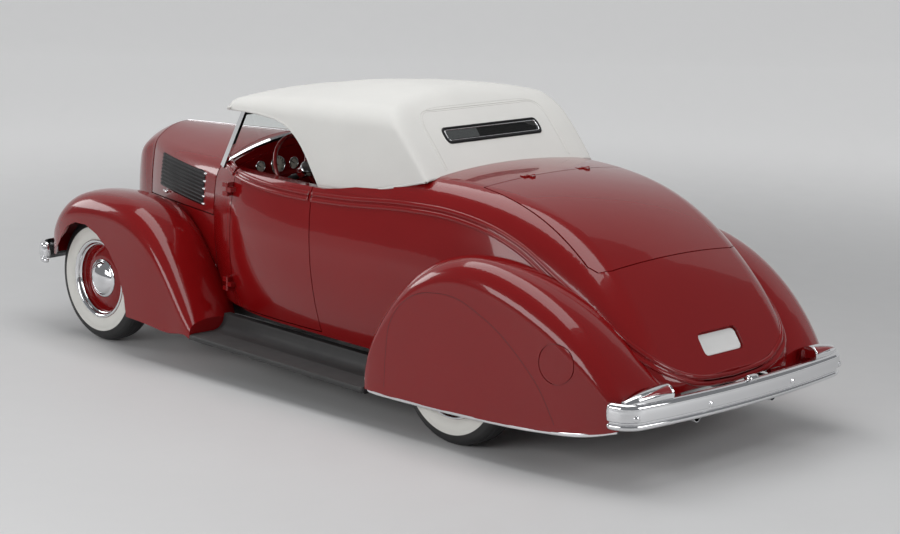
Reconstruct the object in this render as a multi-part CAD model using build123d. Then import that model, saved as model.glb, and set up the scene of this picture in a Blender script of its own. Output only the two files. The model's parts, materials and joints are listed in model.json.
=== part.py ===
from build123d import *
import math
import os

os.makedirs("parts", exist_ok=True)

# Lowered two-seat roadster with full fenders, skirts and a padded top.
# Stations are measured in mm from the rear axle: x forward, y left, z up from the ground.
# MIDDLE moves the finished pieces so that the origin lies under the middle of the car.
MIDDLE = 1142.5
WHEELBASE = 2845.0

TYRE_R = 354.0
FRONT_Y = 694.0
REAR_Y = 741.0
KINGPIN_Y = 590.0
SPINDLE_R = 16.0
RUN = 0.3
EXHAUST_BORE_R = 22.0

WALL = 52.0
PANEL = 16.0
APRON = 12.0
APRON_DROP = 420.0
FENDER_GAP = 1.0
HOOD_WALL = 20.0
NOSE_WALL = 24.0
TOP_WALL = 24.0
GAP = 6.0

DOOR_FRONT = 1836.0
DOOR_REAR_TOP = 1166.0
DOOR_REAR_LOW = 1080.0
DOOR_BOTTOM = 345.0
SILL_TOP = 1080.0
COWL_FRONT = 2088.0
CABIN_FRONT = 1950.0
CABIN_REAR = 600.0

LID_FRONT = 243.0
LID_REAR = -655.0
LID_LEAN = 26.0
LID_AXIS_Z = 1222.0
RIDGE_REAR = (2094.0, 1212.0)
RIDGE_FRONT = (2990.0, 1178.0)
LEAST_CORNER = 14.0
OPEN_BELOW = 60.0
PAST_END = 5.0


def ridge_z(x):
    """Height of the straight hood ridge at station x."""
    share = (x - RIDGE_REAR[0]) / (RIDGE_FRONT[0] - RIDGE_REAR[0])
    return RIDGE_REAR[1] + share * (RIDGE_FRONT[1] - RIDGE_REAR[1])


# Arch sections: station, low edge, widest half width and its height, radius of the side,
# height and radius of the crown, radius of the corner between side and crown
# x, z_low, w, z_w, r_side, z_top, r_top, r_corner
BODY = [
    (2088, 345, 545, 760, 1500, 1212, 900, 150),
    (1800, 340, 650, 720, 1400, 1224, 1600, 150),
    (1250, 325, 706, 700, 1400, 1230, 2200, 150),
    (600, 310, 704, 700, 1400, 1236, 4600, 160),
    (100, 300, 690, 680, 1300, 1226, 4200, 190),
    (-350, 300, 665, 600, 1100, 1124, 3400, 230),
    (-700, 310, 610, 510, 800, 890, 3200, 200),
    (-900, 340, 548, 450, 500, 645, 7000, 120),
    (-1000, 370, 468, 420, 300, 496, 8000, 55),
    (-1040, 392, 330, 415, 120, 440, 4000, 18),
]
HOOD = [
    (2094, 800, 545, 760, 1500, ridge_z(2094), 900, 150),
    (2400, 800, 474, 760, 1500, ridge_z(2400), 760, 140),
    (2700, 795, 388, 760, 1500, ridge_z(2700), 560, 130),
    (2990, 780, 272, 760, 1500, ridge_z(2990), 330, 110),
]
NOSE = [
    (2996, 470, 272, 760, 1500, ridge_z(2996), 330, 110),
    (3100, 472, 246, 760, 1500, 1142, 290, 100),
    (3200, 480, 202, 760, 1500, 1086, 235, 90),
    (3270, 492, 150, 740, 1100, 1010, 165, 80),
    (3315, 510, 84, 700, 700, 850, 90, 50),
    (3335, 540, 36, 620, 300, 690, 40, 25),
]
TOP = [
    (1900, 1090, 600, 1250, 1500, 1474, 3600, 90),
    (1500, 1090, 622, 1250, 1500, 1546, 2800, 110),
    (1100, 1090, 642, 1250, 1500, 1584, 2400, 130),
    (760, 1090, 634, 1250, 1500, 1596, 2300, 140),
    (345, 1090, 606, 1250, 1500, 1582, 2300, 140),
]
# Rear panel of the top in side view: foot, middle and upper edge of a shallow arc, (x, z)
TOP_REAR = ((385.0, 1200.0), (566.0, 1416.0), (760.0, 1610.0))

# Fender sections: station, inner edge, crest, outer side, radii of the outer crown and its corner, low edge
# x, y_in, z_in, y_crest, z_crest, y_out, r_top, r_corner, z_low
FRONT_FENDER = [
    (3245, 420, 508, 670, 565, 770, 220, 60, 470),
    (3165, 260, 560, 680, 690, 836, 320, 100, 458),
    (3040, 230, 640, 690, 800, 872, 380, 125, 440),
    (2780, 300, 715, 695, 868, 884, 420, 130, 300),
    (2480, 400, 725, 705, 852, 886, 420, 130, 225),
    (2220, 460, 590, 712, 720, 886, 400, 125, 208),
    (2020, 500, 380, 718, 480, 884, 380, 110, 200),
    (1886, 560, 248, 722, 290, 880, 400, 60, 192),
]
REAR_FENDER = [
    (530, 560, 240, 740, 292, 872, 300, 50, 186),
    (470, 540, 440, 745, 515, 882, 340, 110, 186),
    (330, 520, 630, 745, 715, 888, 380, 130, 186),
    (60, 500, 785, 745, 893, 890, 420, 125, 190),
    (-260, 480, 805, 735, 918, 888, 430, 130, 198),
    (-600, 430, 695, 690, 805, 868, 420, 140, 212),
    (-880, 385, 485, 640, 592, 820, 360, 120, 240),
    (-1005, 340, 372, 600, 440, 772, 300, 90, 272),
]


def solid_of(wires):
    """Smooth solid through closed section wires."""
    return Solid.make_loft(wires, False)


def closed(x, parts):
    """Closed wire at station x; parts are 2-point lines or 3-point arcs in (y, z)."""
    edges = []
    for pts in parts:
        pts = [(x, y, z) for y, z in pts]
        edges.append(Line(*pts) if len(pts) == 2 else ThreePointArc(*pts))
    return Wire(edges)


def on_arc(centre, radius, angle):
    return (centre[0] + radius * math.cos(angle), centre[1] + radius * math.sin(angle))


def angle_to(a, b):
    return math.atan2(b[1] - a[1], b[0] - a[0])


def arc_points(centre, radius, start, end):
    return [on_arc(centre, radius, t) for t in (start, (start + end) / 2, end)]


def corner_centre(c1, r1, c2, r2, r):
    """Centre of the arc of radius r that touches two larger arcs from inside, up and outward."""
    d = math.dist(c1, c2)
    a, b = r1 - r, r2 - r
    uy, uz = (c2[0] - c1[0]) / d, (c2[1] - c1[1]) / d
    t = (a * a - b * b + d * d) / (2 * d)
    h = math.sqrt(a * a - t * t)
    return max([(c1[0] + uy * t - uz * h * s, c1[1] + uz * t + uy * h * s) for s in (1, -1)], key=sum)


def flipped(points):
    return [(-y, z) for y, z in reversed(points)]


def arch_wire(x, z_low, w, z_w, r_side, z_top, r_top, r_corner):
    """Section of a flat base, two side arcs and a crown, with tangent corner arcs."""
    crown = (0.0, z_top - r_top)
    side = (w - r_side, z_w)
    corner = corner_centre(crown, r_top, side, r_side, r_corner)
    low = math.asin((z_low - z_w) / r_side)
    to_side, to_crown = angle_to(side, corner), angle_to(crown, corner)
    flank = arc_points(side, r_side, low, to_side)
    bend = arc_points(corner, r_corner, to_side, to_crown)
    roof = [bend[2], (0.0, z_top), flipped(bend)[0]]
    base = [flipped(flank)[2], flank[0]]
    return closed(x, [base, flank, bend, roof, flipped(bend), flipped(flank)])


def arch_loft(table, grow=0.0, drop=0.0, reach=(0.0, 0.0)):
    """Solid through arch sections grown outward, with a dropped underside and ends that reach further."""
    wires = []
    for n, (x, z_low, w, z_w, r_side, z_top, r_top, r_corner) in enumerate(table):
        x += reach[0] * (n == 0) + reach[1] * (n == len(table) - 1)
        bend = max(r_corner + grow, LEAST_CORNER)
        low, side, crown = z_low - drop, r_side + grow, r_top + grow
        wires.append(arch_wire(x, low, w + grow, z_w, side, z_top + grow, crown, bend))
    return solid_of(wires)


def fender_wire(x, y_in, z_in, y_crest, z_crest, y_out, r_top, r_corner, z_low):
    """Section of an inner edge, an inner and an outer crown arc, a corner arc and an upright side."""
    run, fall = y_crest - y_in, z_crest - z_in
    r_in = (run * run + fall * fall) / (2 * fall)
    inner_c, crown = (y_crest, z_crest - r_in), (y_crest, z_crest - r_top)
    y_bend = y_out - r_corner
    corner = (y_bend, crown[1] + math.sqrt((r_top - r_corner) ** 2 - (y_bend - y_crest) ** 2))
    turn = angle_to(crown, corner)
    rise = arc_points(inner_c, r_in, angle_to(inner_c, (y_in, z_in)), math.pi / 2)
    roof = arc_points(crown, r_top, math.pi / 2, turn)
    bend = arc_points(corner, r_corner, turn, 0.0)
    foot_in, foot_out = (y_in, z_low), (y_out, z_low)
    return closed(x, [[foot_in, rise[0]], rise, roof, bend, [bend[2], foot_out], [foot_out, foot_in]])


def fender_loft(table, shrink=0.0, drop=0.0, ends=0.0):
    """Left fender volume, shrunk inward for its hollow and opened below by drop."""
    wires = []
    ahead = math.copysign(ends, table[0][0] - table[-1][0])
    for n, (x, y_in, z_in, y_crest, z_crest, y_out, r_top, r_corner, z_low) in enumerate(table):
        x += ahead * ((n == len(table) - 1) - (n == 0))
        wires.append(fender_wire(
            x, y_in + shrink, z_in - shrink, y_crest, z_crest - shrink, y_out - shrink,
            r_top - shrink, r_corner - shrink, z_low - drop))
    return solid_of(wires)


def block(x0, x1, y0, y1, z0, z1):
    return Pos((x0 + x1) / 2, (y0 + y1) / 2, (z0 + z1) / 2) * Box(x1 - x0, y1 - y0, z1 - z0)


def rod_y(x, y0, y1, z, r):
    return Pos(x, (y0 + y1) / 2, z) * Rot(90, 0, 0) * Cylinder(r, abs(y1 - y0))


def rod_x(x0, x1, y, z, r):
    return Pos((x0 + x1) / 2, y, z) * Rot(0, 90, 0) * Cylinder(r, abs(x1 - x0))


def rod_z(x, y, z0, z1, r):
    return Pos(x, y, (z0 + z1) / 2) * Cylinder(r, abs(z1 - z0))


def prism_y(points, y0, y1):
    """Outline in (x, z) pushed along y."""
    wire = Polyline([(x, y0, z) for x, z in points], close=True)
    return extrude(make_face(wire), y1 - y0, (0, 1, 0))


def mirrored(part):
    return mirror(part, Plane.XZ)


PIECES = {}


def keep(name, *solids):
    """Store a piece; every argument is one or more solids of that piece."""
    found = []
    for s in solids:
        found.extend(s.solids())
    PIECES[name] = found


def both(name, part):
    keep(name + "_left", part)
    keep(name + "_right", mirrored(part))


# Body shell, then its doors, deck lid, cowl and rear body
outer = arch_loft(BODY)
inner = arch_loft(BODY[:-1], -WALL, OPEN_BELOW, (PAST_END, 0.0))
shell = outer - inner
cabin = block(CABIN_REAR, CABIN_FRONT, -900, 900, SILL_TOP, 1500)
well = rod_y(0, 628, 900, TYRE_R, 405)
axle_notch = rod_y(0, 400, 900, TYRE_R, 66) + block(-66, 66, 400, 900, 200, TYRE_R)
shell = shell - cabin - well - mirrored(well) - axle_notch - mirrored(axle_notch)

door_cut = prism_y([
    (DOOR_FRONT, DOOR_BOTTOM), (DOOR_FRONT, 1300),
    (DOOR_REAR_TOP + 12, 1300), (DOOR_REAR_TOP, SILL_TOP), (DOOR_REAR_LOW, DOOR_BOTTOM)], 300, 900)
door_hole = prism_y([
    (DOOR_FRONT + GAP, DOOR_BOTTOM - GAP), (DOOR_FRONT + GAP, 1300),
    (DOOR_REAR_TOP + 12 - GAP, 1300), (DOOR_REAR_TOP - GAP, SILL_TOP),
    (DOOR_REAR_LOW - GAP, DOOR_BOTTOM - GAP)], 300, 900)
door = shell & door_cut

lean = math.tan(math.radians(LID_LEAN))


def lid_prism(g):
    """Deck lid outline in plan at z = 900, leaned back so that it opens clear of its frame."""
    z0, z1 = 500.0, 1400.0
    pts = [(LID_FRONT + g, 498 + g), (LID_REAR + 80, 520 + g), (LID_REAR + 22, 500 + g), (LID_REAR - g, 440)]
    pts = pts + [(x, -y) for x, y in reversed(pts)]
    low = Wire(Polyline([(x + (900 - z0) * lean, y, z0) for x, y in pts], close=True).edges())
    high = Wire(Polyline([(x - (z1 - 900) * lean, y, z1) for x, y in pts], close=True).edges())
    return Solid.make_loft([low, high], True)


lid = shell & lid_prism(0.0)
body = shell - lid_prism(GAP) - door_hole - mirrored(door_hole)
cowl = body & block(DOOR_FRONT + 1, 2400, -900, 900, 0, 1500)
rear_body = body & block(-1400, DOOR_FRONT, -900, 900, 0, 1500)
firewall = outer & block(COWL_FRONT - 8, COWL_FRONT, -900, 900, 380, 1500)
firewall = firewall - block(2000, 2100, -190, 190, 300, 560)

HINGE_X = DOOR_FRONT + GAP / 2
HINGE_Y = 657.0
HINGE_R = 8.0
LEAF = 34.0
cowl = cowl + firewall
for z in (470.0, 980.0):
    leaf_y = 560.0
    for z0, z1 in ((z - 36, z - 12 - RUN), (z + 12 + RUN, z + 36)):
        ear = rod_z(HINGE_X, HINGE_Y, z0, z1, HINGE_R)
        ear = ear + block(HINGE_X, HINGE_X + LEAF, leaf_y, HINGE_Y + 4, z0, z1)
        ear = ear - (inner & block(1700, 2000, 400, 700, z0 - 1, z1 + 1))
        ear = max(ear.solids(), key=lambda q: q.volume) & block(1800, 1900, leaf_y + 40, 700, z0, z1)
        cowl = cowl + ear + mirrored(ear)
    ear = rod_z(HINGE_X, HINGE_Y, z - 12, z + 12, HINGE_R)
    ear = ear + block(HINGE_X - LEAF, HINGE_X, HINGE_Y - 64, HINGE_Y + 4, z - 12, z + 12)
    ear = ear - block(HINGE_X - 2.9, HINGE_X + 20, 500, HINGE_Y - HINGE_R - 0.5, z - 13, z + 13)
    door = door + ear
keep("cowl", cowl)
both("door", door)
LID_AXIS = (LID_FRONT - (LID_AXIS_Z - 900.0) * lean + GAP / 2, LID_AXIS_Z)
LID_BARREL_R = 6.0
LID_EAR = 30.0
for y in (200.0, -200.0):
    x, z = LID_AXIS
    for y0, y1 in ((y - 36, y - 12 - RUN), (y + 12 + RUN, y + 36)):
        lid = lid - rod_y(x, y0 - RUN, y1 + RUN, z, LID_BARREL_R + RUN)
        arm = block(x, x + LID_EAR, y0, y1, z - 24, z + 3) - lid_prism(GAP - RUN)
        rear_body = rear_body + rod_y(x, y0, y1, z, LID_BARREL_R) + arm
    rear_body = rear_body - rod_y(x, y - 12 - RUN, y + 12 + RUN, z, LID_BARREL_R + RUN)
    lid_leaf = block(x - LID_EAR, x, y - 12, y + 12, z - 20, z + 3)
    lid = lid + rod_y(x, y - 12, y + 12, z, LID_BARREL_R) + lid_leaf
PLATE_AT = (-958.0, 0.0, 556.0)
PLATE_LEAN = 35.0
PLATE_W = 292.0
PLATE_H = 118.0
PLATE_DEPTH = 16.0
plate_well = fillet(Box(2 * PLATE_DEPTH, PLATE_W, PLATE_H).edges().filter_by(Axis.X), 30)
rear_body = rear_body - (Pos(*PLATE_AT) * Rot(0, PLATE_LEAN, 0) * plate_well)
keep("rear_body", rear_body)
keep("deck_lid", lid)


# Fenders, skirts and running boards
ff = fender_loft(FRONT_FENDER) - fender_loft(FRONT_FENDER, PANEL, 40, PANEL)
WHEEL_ARCH = [(3112, 300), (3104, 470), (3060, 570), (2980, 650), (2900, 684), (2800, 684), (2700, 645),
              (2590, 570), (2500, 460), (2450, 330), (2420, 150)]
ff = ff - prism_y(WHEEL_ARCH, 760, 1000)
ff = ff - Pos(WHEELBASE, KINGPIN_Y, TYRE_R) * Sphere(408)
body_clear = arch_loft(BODY, RUN)

hood = arch_loft(HOOD) - arch_loft(HOOD, -HOOD_WALL, 40.0, (-10.0, 10.0))
VENT_X = (2250.0, 2610.0)
VENT_Z = 842.0
VENT_PITCH = 27.0
VENT_SLOT = 14.0
VENT_COUNT = 7
for k in range(VENT_COUNT):
    z = VENT_Z + k * VENT_PITCH
    hood = hood - block(VENT_X[0], VENT_X[1], -700, 700, z, z + VENT_SLOT)
hood_half = hood & block(1900, 3300, 4, 900, 0, 1500)
both("hood", hood_half)
RIDGE_DEG = math.degrees(math.atan2(RIDGE_REAR[1] - RIDGE_FRONT[1], RIDGE_FRONT[0] - RIDGE_REAR[0]))
RIDGE_MID = (RIDGE_REAR[0] + RIDGE_FRONT[0]) / 2
ridge = Pos(RIDGE_MID, 0, ridge_z(RIDGE_MID) + 2.0) * Rot(0, 90 + RIDGE_DEG, 0) * Cylinder(3.7, 908)
keep("hood_strip", ridge & block(COWL_FRONT, 2996, -20, 20, 1000, 1400))

# Grille shell with its upright bars and the radiator behind them
nose_hollow = [(x - NOSE_WALL * (n > 0), *rest) for n, (x, *rest) in enumerate(NOSE[:-1])]
nose = arch_loft(NOSE) - arch_loft(nose_hollow, -NOSE_WALL, OPEN_BELOW, (-4.0, 0.0))
GRILLE = [(-176, 520), (-176, 840), (-110, 968), (0, 1000), (110, 968), (176, 840), (176, 520)]
mouth = extrude(make_face(Polyline([(3090, y, z) for y, z in GRILLE], close=True)), 400, (1, 0, 0))
prow = block(3000, 3500, -9, 9, 0, 1500)
opening = mouth - prow
keep("grille_shell", nose - opening)
slats = []
for k in range(8):
    y = 9 + 10.0 + k * 20.0
    slats.append(block(3050, 3400, y, y + 8.0, 480, 1100))
bars = []
for s in slats:
    bar = nose & mouth & s
    bars.append(bar)
    bars.append(mirrored(bar))
keep("grille_bars", *bars)
keep("radiator", block(3012, 3068, -190, 190, 470, 975))

hood_clear = arch_loft(HOOD, FENDER_GAP, APRON_DROP)
nose_clear = arch_loft(NOSE, RUN)
ff = ff - body_clear - hood_clear - nose_clear - block(1800, 3400, 150, 412, 0, 505)
both("front_fender", max(ff.solids(), key=lambda s: s.volume))

# Side aprons that close the engine bay between the hood's lower edge and the fenders
apron = arch_loft(HOOD, 0.0, APRON_DROP, (COWL_FRONT + RUN - HOOD[0][0], 0.0))
apron = apron - arch_loft(HOOD, -APRON, APRON_DROP + 40.0, (-20.0, 20.0))
foot = [(x, z_low - GAP) for x, z_low, *rest in HOOD]
foot[0] = (COWL_FRONT, foot[0][1])
apron = apron & prism_y([(COWL_FRONT, 345.0)] + foot + [(foot[-1][0], 345.0)], 4.0, 900.0)
apron = apron - fender_loft(FRONT_FENDER, -RUN)
apron = max(apron.solids(), key=lambda s: s.volume)
keep("hood_aprons", apron, mirrored(apron))

rf_shell = fender_loft(REAR_FENDER) - fender_loft(REAR_FENDER, PANEL, 40, PANEL)
rf_shell = rf_shell - body_clear - rod_y(0, 560, 868, TYRE_R, 400) - block(-1100, 600, 200, 520, 0, 345)
SKIRT = [(378, 150), (368, 400), (345, 540), (280, 640), (170, 715), (40, 744), (-110, 740), (-240, 694),
         (-380, 620), (-495, 528), (-600, 420), (-690, 310), (-740, 150)]
skirt_cut = prism_y(SKIRT, 800, 1000)
skirt = rf_shell & skirt_cut
rf = rf_shell - skirt_cut
FILLER_AT = (-699.0, 533.0)
FILLER_R = 95.0
FILLER_GROOVE = 4.0
rf = max(rf.solids(), key=lambda s: s.volume)
ring = rod_y(FILLER_AT[0], 700, 900, FILLER_AT[1], FILLER_R)
ring = ring - rod_y(FILLER_AT[0], 600, 1000, FILLER_AT[1], FILLER_R - FILLER_GROOVE)
filler_groove = ring - fender_loft(REAR_FENDER, 6.0)
keep("rear_fender_left", rf - filler_groove)
keep("rear_fender_right", mirrored(rf))
skirt = max(skirt.solids(), key=lambda s: s.volume)
keep("fender_skirts", skirt, mirrored(skirt))


def board_wire(x, z):
    """Running board section: flat tread with a curved rise to the body."""
    return closed(x, [
        [(600, z + 112), (640, z + 112)],
        [(640, z + 112), (664, z + 52), (724, z + 28)],
        [(724, z + 28), (868, z + 28)],
        [(868, z + 28), (880, z + 16), (868, z)],
        [(868, z), (600, z)],
        [(600, z), (600, z + 112)],
    ])


board = Solid.make_loft([board_wire(1886, 188), board_wire(530, 158)], True)
board = board - body_clear
board = max(board.solids(), key=lambda s: s.volume)
keep("running_boards", board, mirrored(board))

# Headlamps on the inner slopes of the front fenders
LAMP_AT = (3140.0, 490.0, 650.0)
lamp_axis = Pos(*LAMP_AT)
LAMP_R = 78.0
LAMP_FRONT = 106.0
LAMP_TAIL = -210.0
bullet = revolve(make_face(Wire([
    Line((LAMP_FRONT, 0, 0), (LAMP_FRONT, 0, LAMP_R)),
    ThreePointArc((LAMP_FRONT, 0, LAMP_R), (10, 0, LAMP_R + 6), (LAMP_TAIL, 0, 12)),
    Line((LAMP_TAIL, 0, 12), (LAMP_TAIL, 0, 0)), Line((LAMP_TAIL, 0, 0), (LAMP_FRONT, 0, 0))])), Axis.X, 360)
LENS_BACK = LAMP_FRONT + RUN
lens = revolve(make_face(Wire([
    Line((LENS_BACK, 0, 0), (LENS_BACK + 26, 0, 0)),
    ThreePointArc((LENS_BACK + 26, 0, 0), (LENS_BACK + 20, 0, 42), (LENS_BACK, 0, LAMP_R - 3)),
    Line((LENS_BACK, 0, LAMP_R - 3), (LENS_BACK, 0, 0))])), Axis.X, 360)
lamp_body = lamp_axis * bullet
lamp_body = lamp_body - fender_loft(FRONT_FENDER, -RUN) - (lamp_axis * lens)
lamp_body = max(lamp_body.solids(), key=lambda s: s.volume)
keep("headlamps", lamp_body, mirrored(lamp_body))
keep("headlamp_lenses", lamp_axis * lens, mirrored(lamp_axis * lens))

# Windscreen, padded top and its window
TILT = 31.0
SCREEN = Pos(2046, 0, 1072) * Rot(0, -TILT, 0)
SCREEN_H = 372.0


def screen_face(w, low, high, crown):
    """Upright pane with leaning sides and an arched foot."""
    return make_face(Wire([
        Line((0, w, low), (0, w + 8, high)),
        Line((0, w + 8, high), (0, -w - 8, high)),
        Line((0, -w - 8, high), (0, -w, low)),
        ThreePointArc((0, -w, low), (0, 0, low + crown), (0, w, low)),
    ]))


frame_slab = extrude(screen_face(520, -6, SCREEN_H, 160), 14, (1, 0, 0), both=True)
pane_slab = extrude(screen_face(500, 18, SCREEN_H - 22, 160), 30, (1, 0, 0), both=True)
glass_slab = extrude(screen_face(500, 18, SCREEN_H - 22, 160), 3, (1, 0, 0), both=True)
screen_frame = (SCREEN * (frame_slab - pane_slab)) - body_clear
keep("windshield_frame", max(screen_frame.solids(), key=lambda s: s.volume))
screen_glass = (SCREEN * glass_slab) - body_clear
keep("windshield_glass", max(screen_glass.solids(), key=lambda s: s.volume))

# Padded top with its side openings and the slot for its window
def rear_limit(depth):
    """Space ahead of the top's rear panel, set in by depth along the panel's normal."""
    (x0, z0), (x1, z1), (x2, z2) = TOP_REAR
    run = math.hypot(x2 - x0, z2 - z0)
    dx, dz = depth * (z2 - z0) / run, -depth * (x2 - x0) / run
    rear = [(x + dx, -900.0, z + dz) for x, z in TOP_REAR]
    outline = [rear[2], (rear[2][0], -900.0, 1800.0), (2100.0, -900.0, 1800.0), (2100.0, -900.0, 900.0),
               (rear[0][0] - 260.0, -900.0, 900.0), rear[0]]
    edges = [ThreePointArc(*rear)] + [Line(a, b) for a, b in zip(outline, outline[1:])]
    return extrude(make_face(Wire(edges)), 1800.0, (0, 1, 0))


top = arch_loft(TOP) & rear_limit(0.0)
top = top - (arch_loft(TOP, -TOP_WALL, 100.0, (30.0, 0.0)) & rear_limit(TOP_WALL))
SIDE_OPENING = [(1960, 1000), (1960, 1400), (1880, 1404), (1750, 1404), (1600, 1398), (1480, 1386),
                (1380, 1352), (1300, 1300), (1230, 1220), (1150, 1000)]
top = top - prism_y(SIDE_OPENING, -900, 900)
SLOT = [(-336, 1352), (-336, 1408), (336, 1408), (336, 1352)]
slot_cut = extrude(make_face(Polyline([(300, y, z) for y, z in SLOT], close=True)), 520, (1, 0, 0))
slot_pane = top & slot_cut
top = top - slot_cut - body_clear
top = top - (SCREEN * extrude(screen_face(540, -40, SCREEN_H + RUN, 160), 40, (1, 0, 0), both=True))
keep("padded_top", max(top.solids(), key=lambda s: s.volume))
keep("rear_window", max(slot_pane.solids(), key=lambda s: s.volume))

# Cabin: floor, dash, seat, column and steering wheel
FLOOR = 326.0
floor = block(560, COWL_FRONT - 9, -430, 430, FLOOR, FLOOR + 12)
floor = floor - block(1700, 2100, -170, 170, 300, 400) - block(500, 1720, -95, 95, 300, 400)
tunnel = block(1692, COWL_FRONT - 9, -178, 178, FLOOR, 568) - block(1700, 2200, -170, 170, 300, 560)
tunnel = tunnel - block(1600, 1720, -95, 95, 300, 442)
shaft_tunnel = block(560, 1692, -103, 103, FLOOR, 450) - block(500, 1800, -95, 95, 300, 442)
trunk_floor = block(-640, 548, -400, 400, 545, 557)
riser = block(548, 560, -430, 430, FLOOR, 557) - block(540, 570, -95, 95, 300, 442)
keep("floor_pan", floor + tunnel + shaft_tunnel + trunk_floor + riser)
cavity = arch_loft(BODY[:-1], -WALL - 2 * RUN, OPEN_BELOW, (PAST_END, 0.0))
bulkhead = (cavity & block(606, 618, -700, 700, 560, 1078))
keep("seat_bulkhead", bulkhead)
dash = cavity & block(1925, 1962, -700, 700, 900, 1300)
keep("dashboard", dash)

seat_cushion = block(760, 1290, -520, 520, 470, 640)
seat_cushion = fillet(seat_cushion.edges().filter_by(Axis.Y), 40)
seat_base = block(780, 1250, -500, 500, FLOOR + 12.0, 470) - block(700, 1300, -103.3, 103.3, 300, 451)
keep("seat_base", seat_base)
keep("seat_cushion", seat_cushion)
seat_back = prism_y([(765, 640.3), (900, 640.3), (790, 1060), (660, 1060)], -520, 520)
seat_back = fillet(seat_back.edges().filter_by(Axis.Y), 35)
keep("seat_back", seat_back)

WHEEL_Y = 330.0
WHEEL_AT = (1580.0, 1085.0)
COLUMN_DEG = 28.0
COLUMN = Pos(WHEEL_AT[0], WHEEL_Y, WHEEL_AT[1]) * Rot(0, 90 + COLUMN_DEG, 0)
tube = COLUMN * Pos(0, 0, 40.3 + 230) * Cylinder(19, 460)
bracket = COLUMN * Pos(0, 0, 350) * Cylinder(30, 40)
keep("steering_column", tube + bracket - (cavity & block(1925 - RUN, 1962 + RUN, -700, 700, 900, 1300)))
rim = Torus(200, 11)
hub = Pos(0, 0, 18) * Cylinder(34, 44)
spokes = [Rot(0, 0, a) * Pos(100, 0, 8) * Box(190, 20, 8) for a in (90, 210, 330)]
keep("steering_wheel", COLUMN * (rim + hub + spokes[0] + spokes[1] + spokes[2]))

# Frame rails in side view
RAIL_Y = (345.0, 405.0)
RAIL = [(-760, 400), (-380, 482), (284, 482), (500, 232), (2300, 232), (2520, 395), (3230, 395),
        (3230, 480), (2480, 480), (2260, 326), (546, 326), (330, 545), (-640, 545), (-760, 480)]
rail = prism_y(RAIL, RAIL_Y[0], RAIL_Y[1])

# Bumpers with their irons, and the tail lamps
BAR_H = 120.0
BAR_DEPTH = 34.0
REAR_BAR_Z = 288.0
FRONT_BAR_Z = 382.0
REAR_FACE = 1165.0
FRONT_FACE = 3450.0
BAR_SPAN = 720.0
BAR_FLAT = 18.0


def bar_profile(face, z0):
    """Upright section of a bumper: convex face, a groove and a rolled lower edge."""
    z1 = z0 + BAR_H
    back = face - BAR_DEPTH

    def p(u, z):
        return (face + u, 0, z)

    return make_face(Wire([
        Line((back, 0, z0 + 4), (back, 0, z1)), Line((back, 0, z1), p(-BAR_FLAT, z1)),
        ThreePointArc(p(-BAR_FLAT, z1), p(-7, z1 - 8), p(-2, z1 - 26)),
        ThreePointArc(p(-2, z1 - 26), p(0, z1 - 50), p(-3, z0 + 42)),
        Line(p(-3, z0 + 42), p(-13, z0 + 35)), Line(p(-13, z0 + 35), p(-13, z0 + 30)),
        ThreePointArc(p(-13, z0 + 30), p(-3, z0 + 15), p(-16, z0)), Line(p(-16, z0), (back, 0, z0 + 4))]))


def bumper(face, z0, bow_r, corner_r, wrap_deg):
    """Bar bowed in plan, turned round tighter corners and rolled in at its ends."""
    upright = (0, 0, 1)
    bow = Axis((face - bow_r, 0, 0), upright)
    half = math.degrees(math.asin(BAR_SPAN / bow_r))
    section = bar_profile(face, z0)
    end = section.rotate(bow, half)
    a = math.radians(half)
    centre = (face - bow_r + (bow_r - corner_r) * math.cos(a), (bow_r - corner_r) * math.sin(a), 0)
    turn = Axis(centre, upright)
    tip = end.rotate(turn, wrap_deg)
    b = math.radians(half + wrap_deg)
    inner_r = corner_r - BAR_DEPTH
    back = (centre[0] + inner_r * math.cos(b), centre[1] + inner_r * math.sin(b), 0)
    bar = revolve(section.rotate(bow, -half), bow, 2 * half)
    side = revolve(end, turn, wrap_deg) + revolve(tip, Axis(back, upright), 90)
    return bar + side + mirrored(side)


rear_bar = mirror(bumper(REAR_FACE, REAR_BAR_Z, 5366.0, 130.0, 78.0), Plane.YZ)
front_bar = bumper(FRONT_FACE, FRONT_BAR_Z, 7470.0, 120.0, 75.0)
rear_iron = block(-1128, -700, 352, 398, 300, 326) + block(-740, -700, 352, 398, 300, 440)
rear_iron = rear_iron - rear_bar - rail
front_iron = block(3230, 3420, 352, 398, 400, 436) - front_bar
keep("rear_bumper", rear_bar)
keep("front_bumper", front_bar)
rear_iron = max(rear_iron.solids(), key=lambda s: s.volume)
front_iron = max(front_iron.solids(), key=lambda s: s.volume)
keep("bumper_irons", rear_iron, mirrored(rear_iron), front_iron, mirrored(front_iron))
LAMP_SEAT = REAR_BAR_Z + BAR_H
# Tail lamp sections: y, rear and front edge of the seat, height
TAIL_LAMP = [
    (536, -1121, -1036, 58),
    (620, -1112, -1034, 54),
    (710, -1099, -1036, 40),
    (790, -1062, -1030, 12),
]


def lamp_wire(y, x0, x1, h):
    """Flat seat under a rounded hood."""
    z = LAMP_SEAT
    back, front, peak = (x0, y, z), (x1, y, z), ((x0 + x1) / 2, y, z + h)
    return Wire([Line(back, front), ThreePointArc(front, peak, back)])


lamp_case = solid_of([lamp_wire(*row) for row in TAIL_LAMP])
centre_lamp = rod_y(-1144, -34, 34, LAMP_SEAT, 19) & block(-1200, -1100, -60, 60, LAMP_SEAT, LAMP_SEAT + 40)
keep("tail_lamps", lamp_case, mirrored(lamp_case), centre_lamp)

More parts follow.
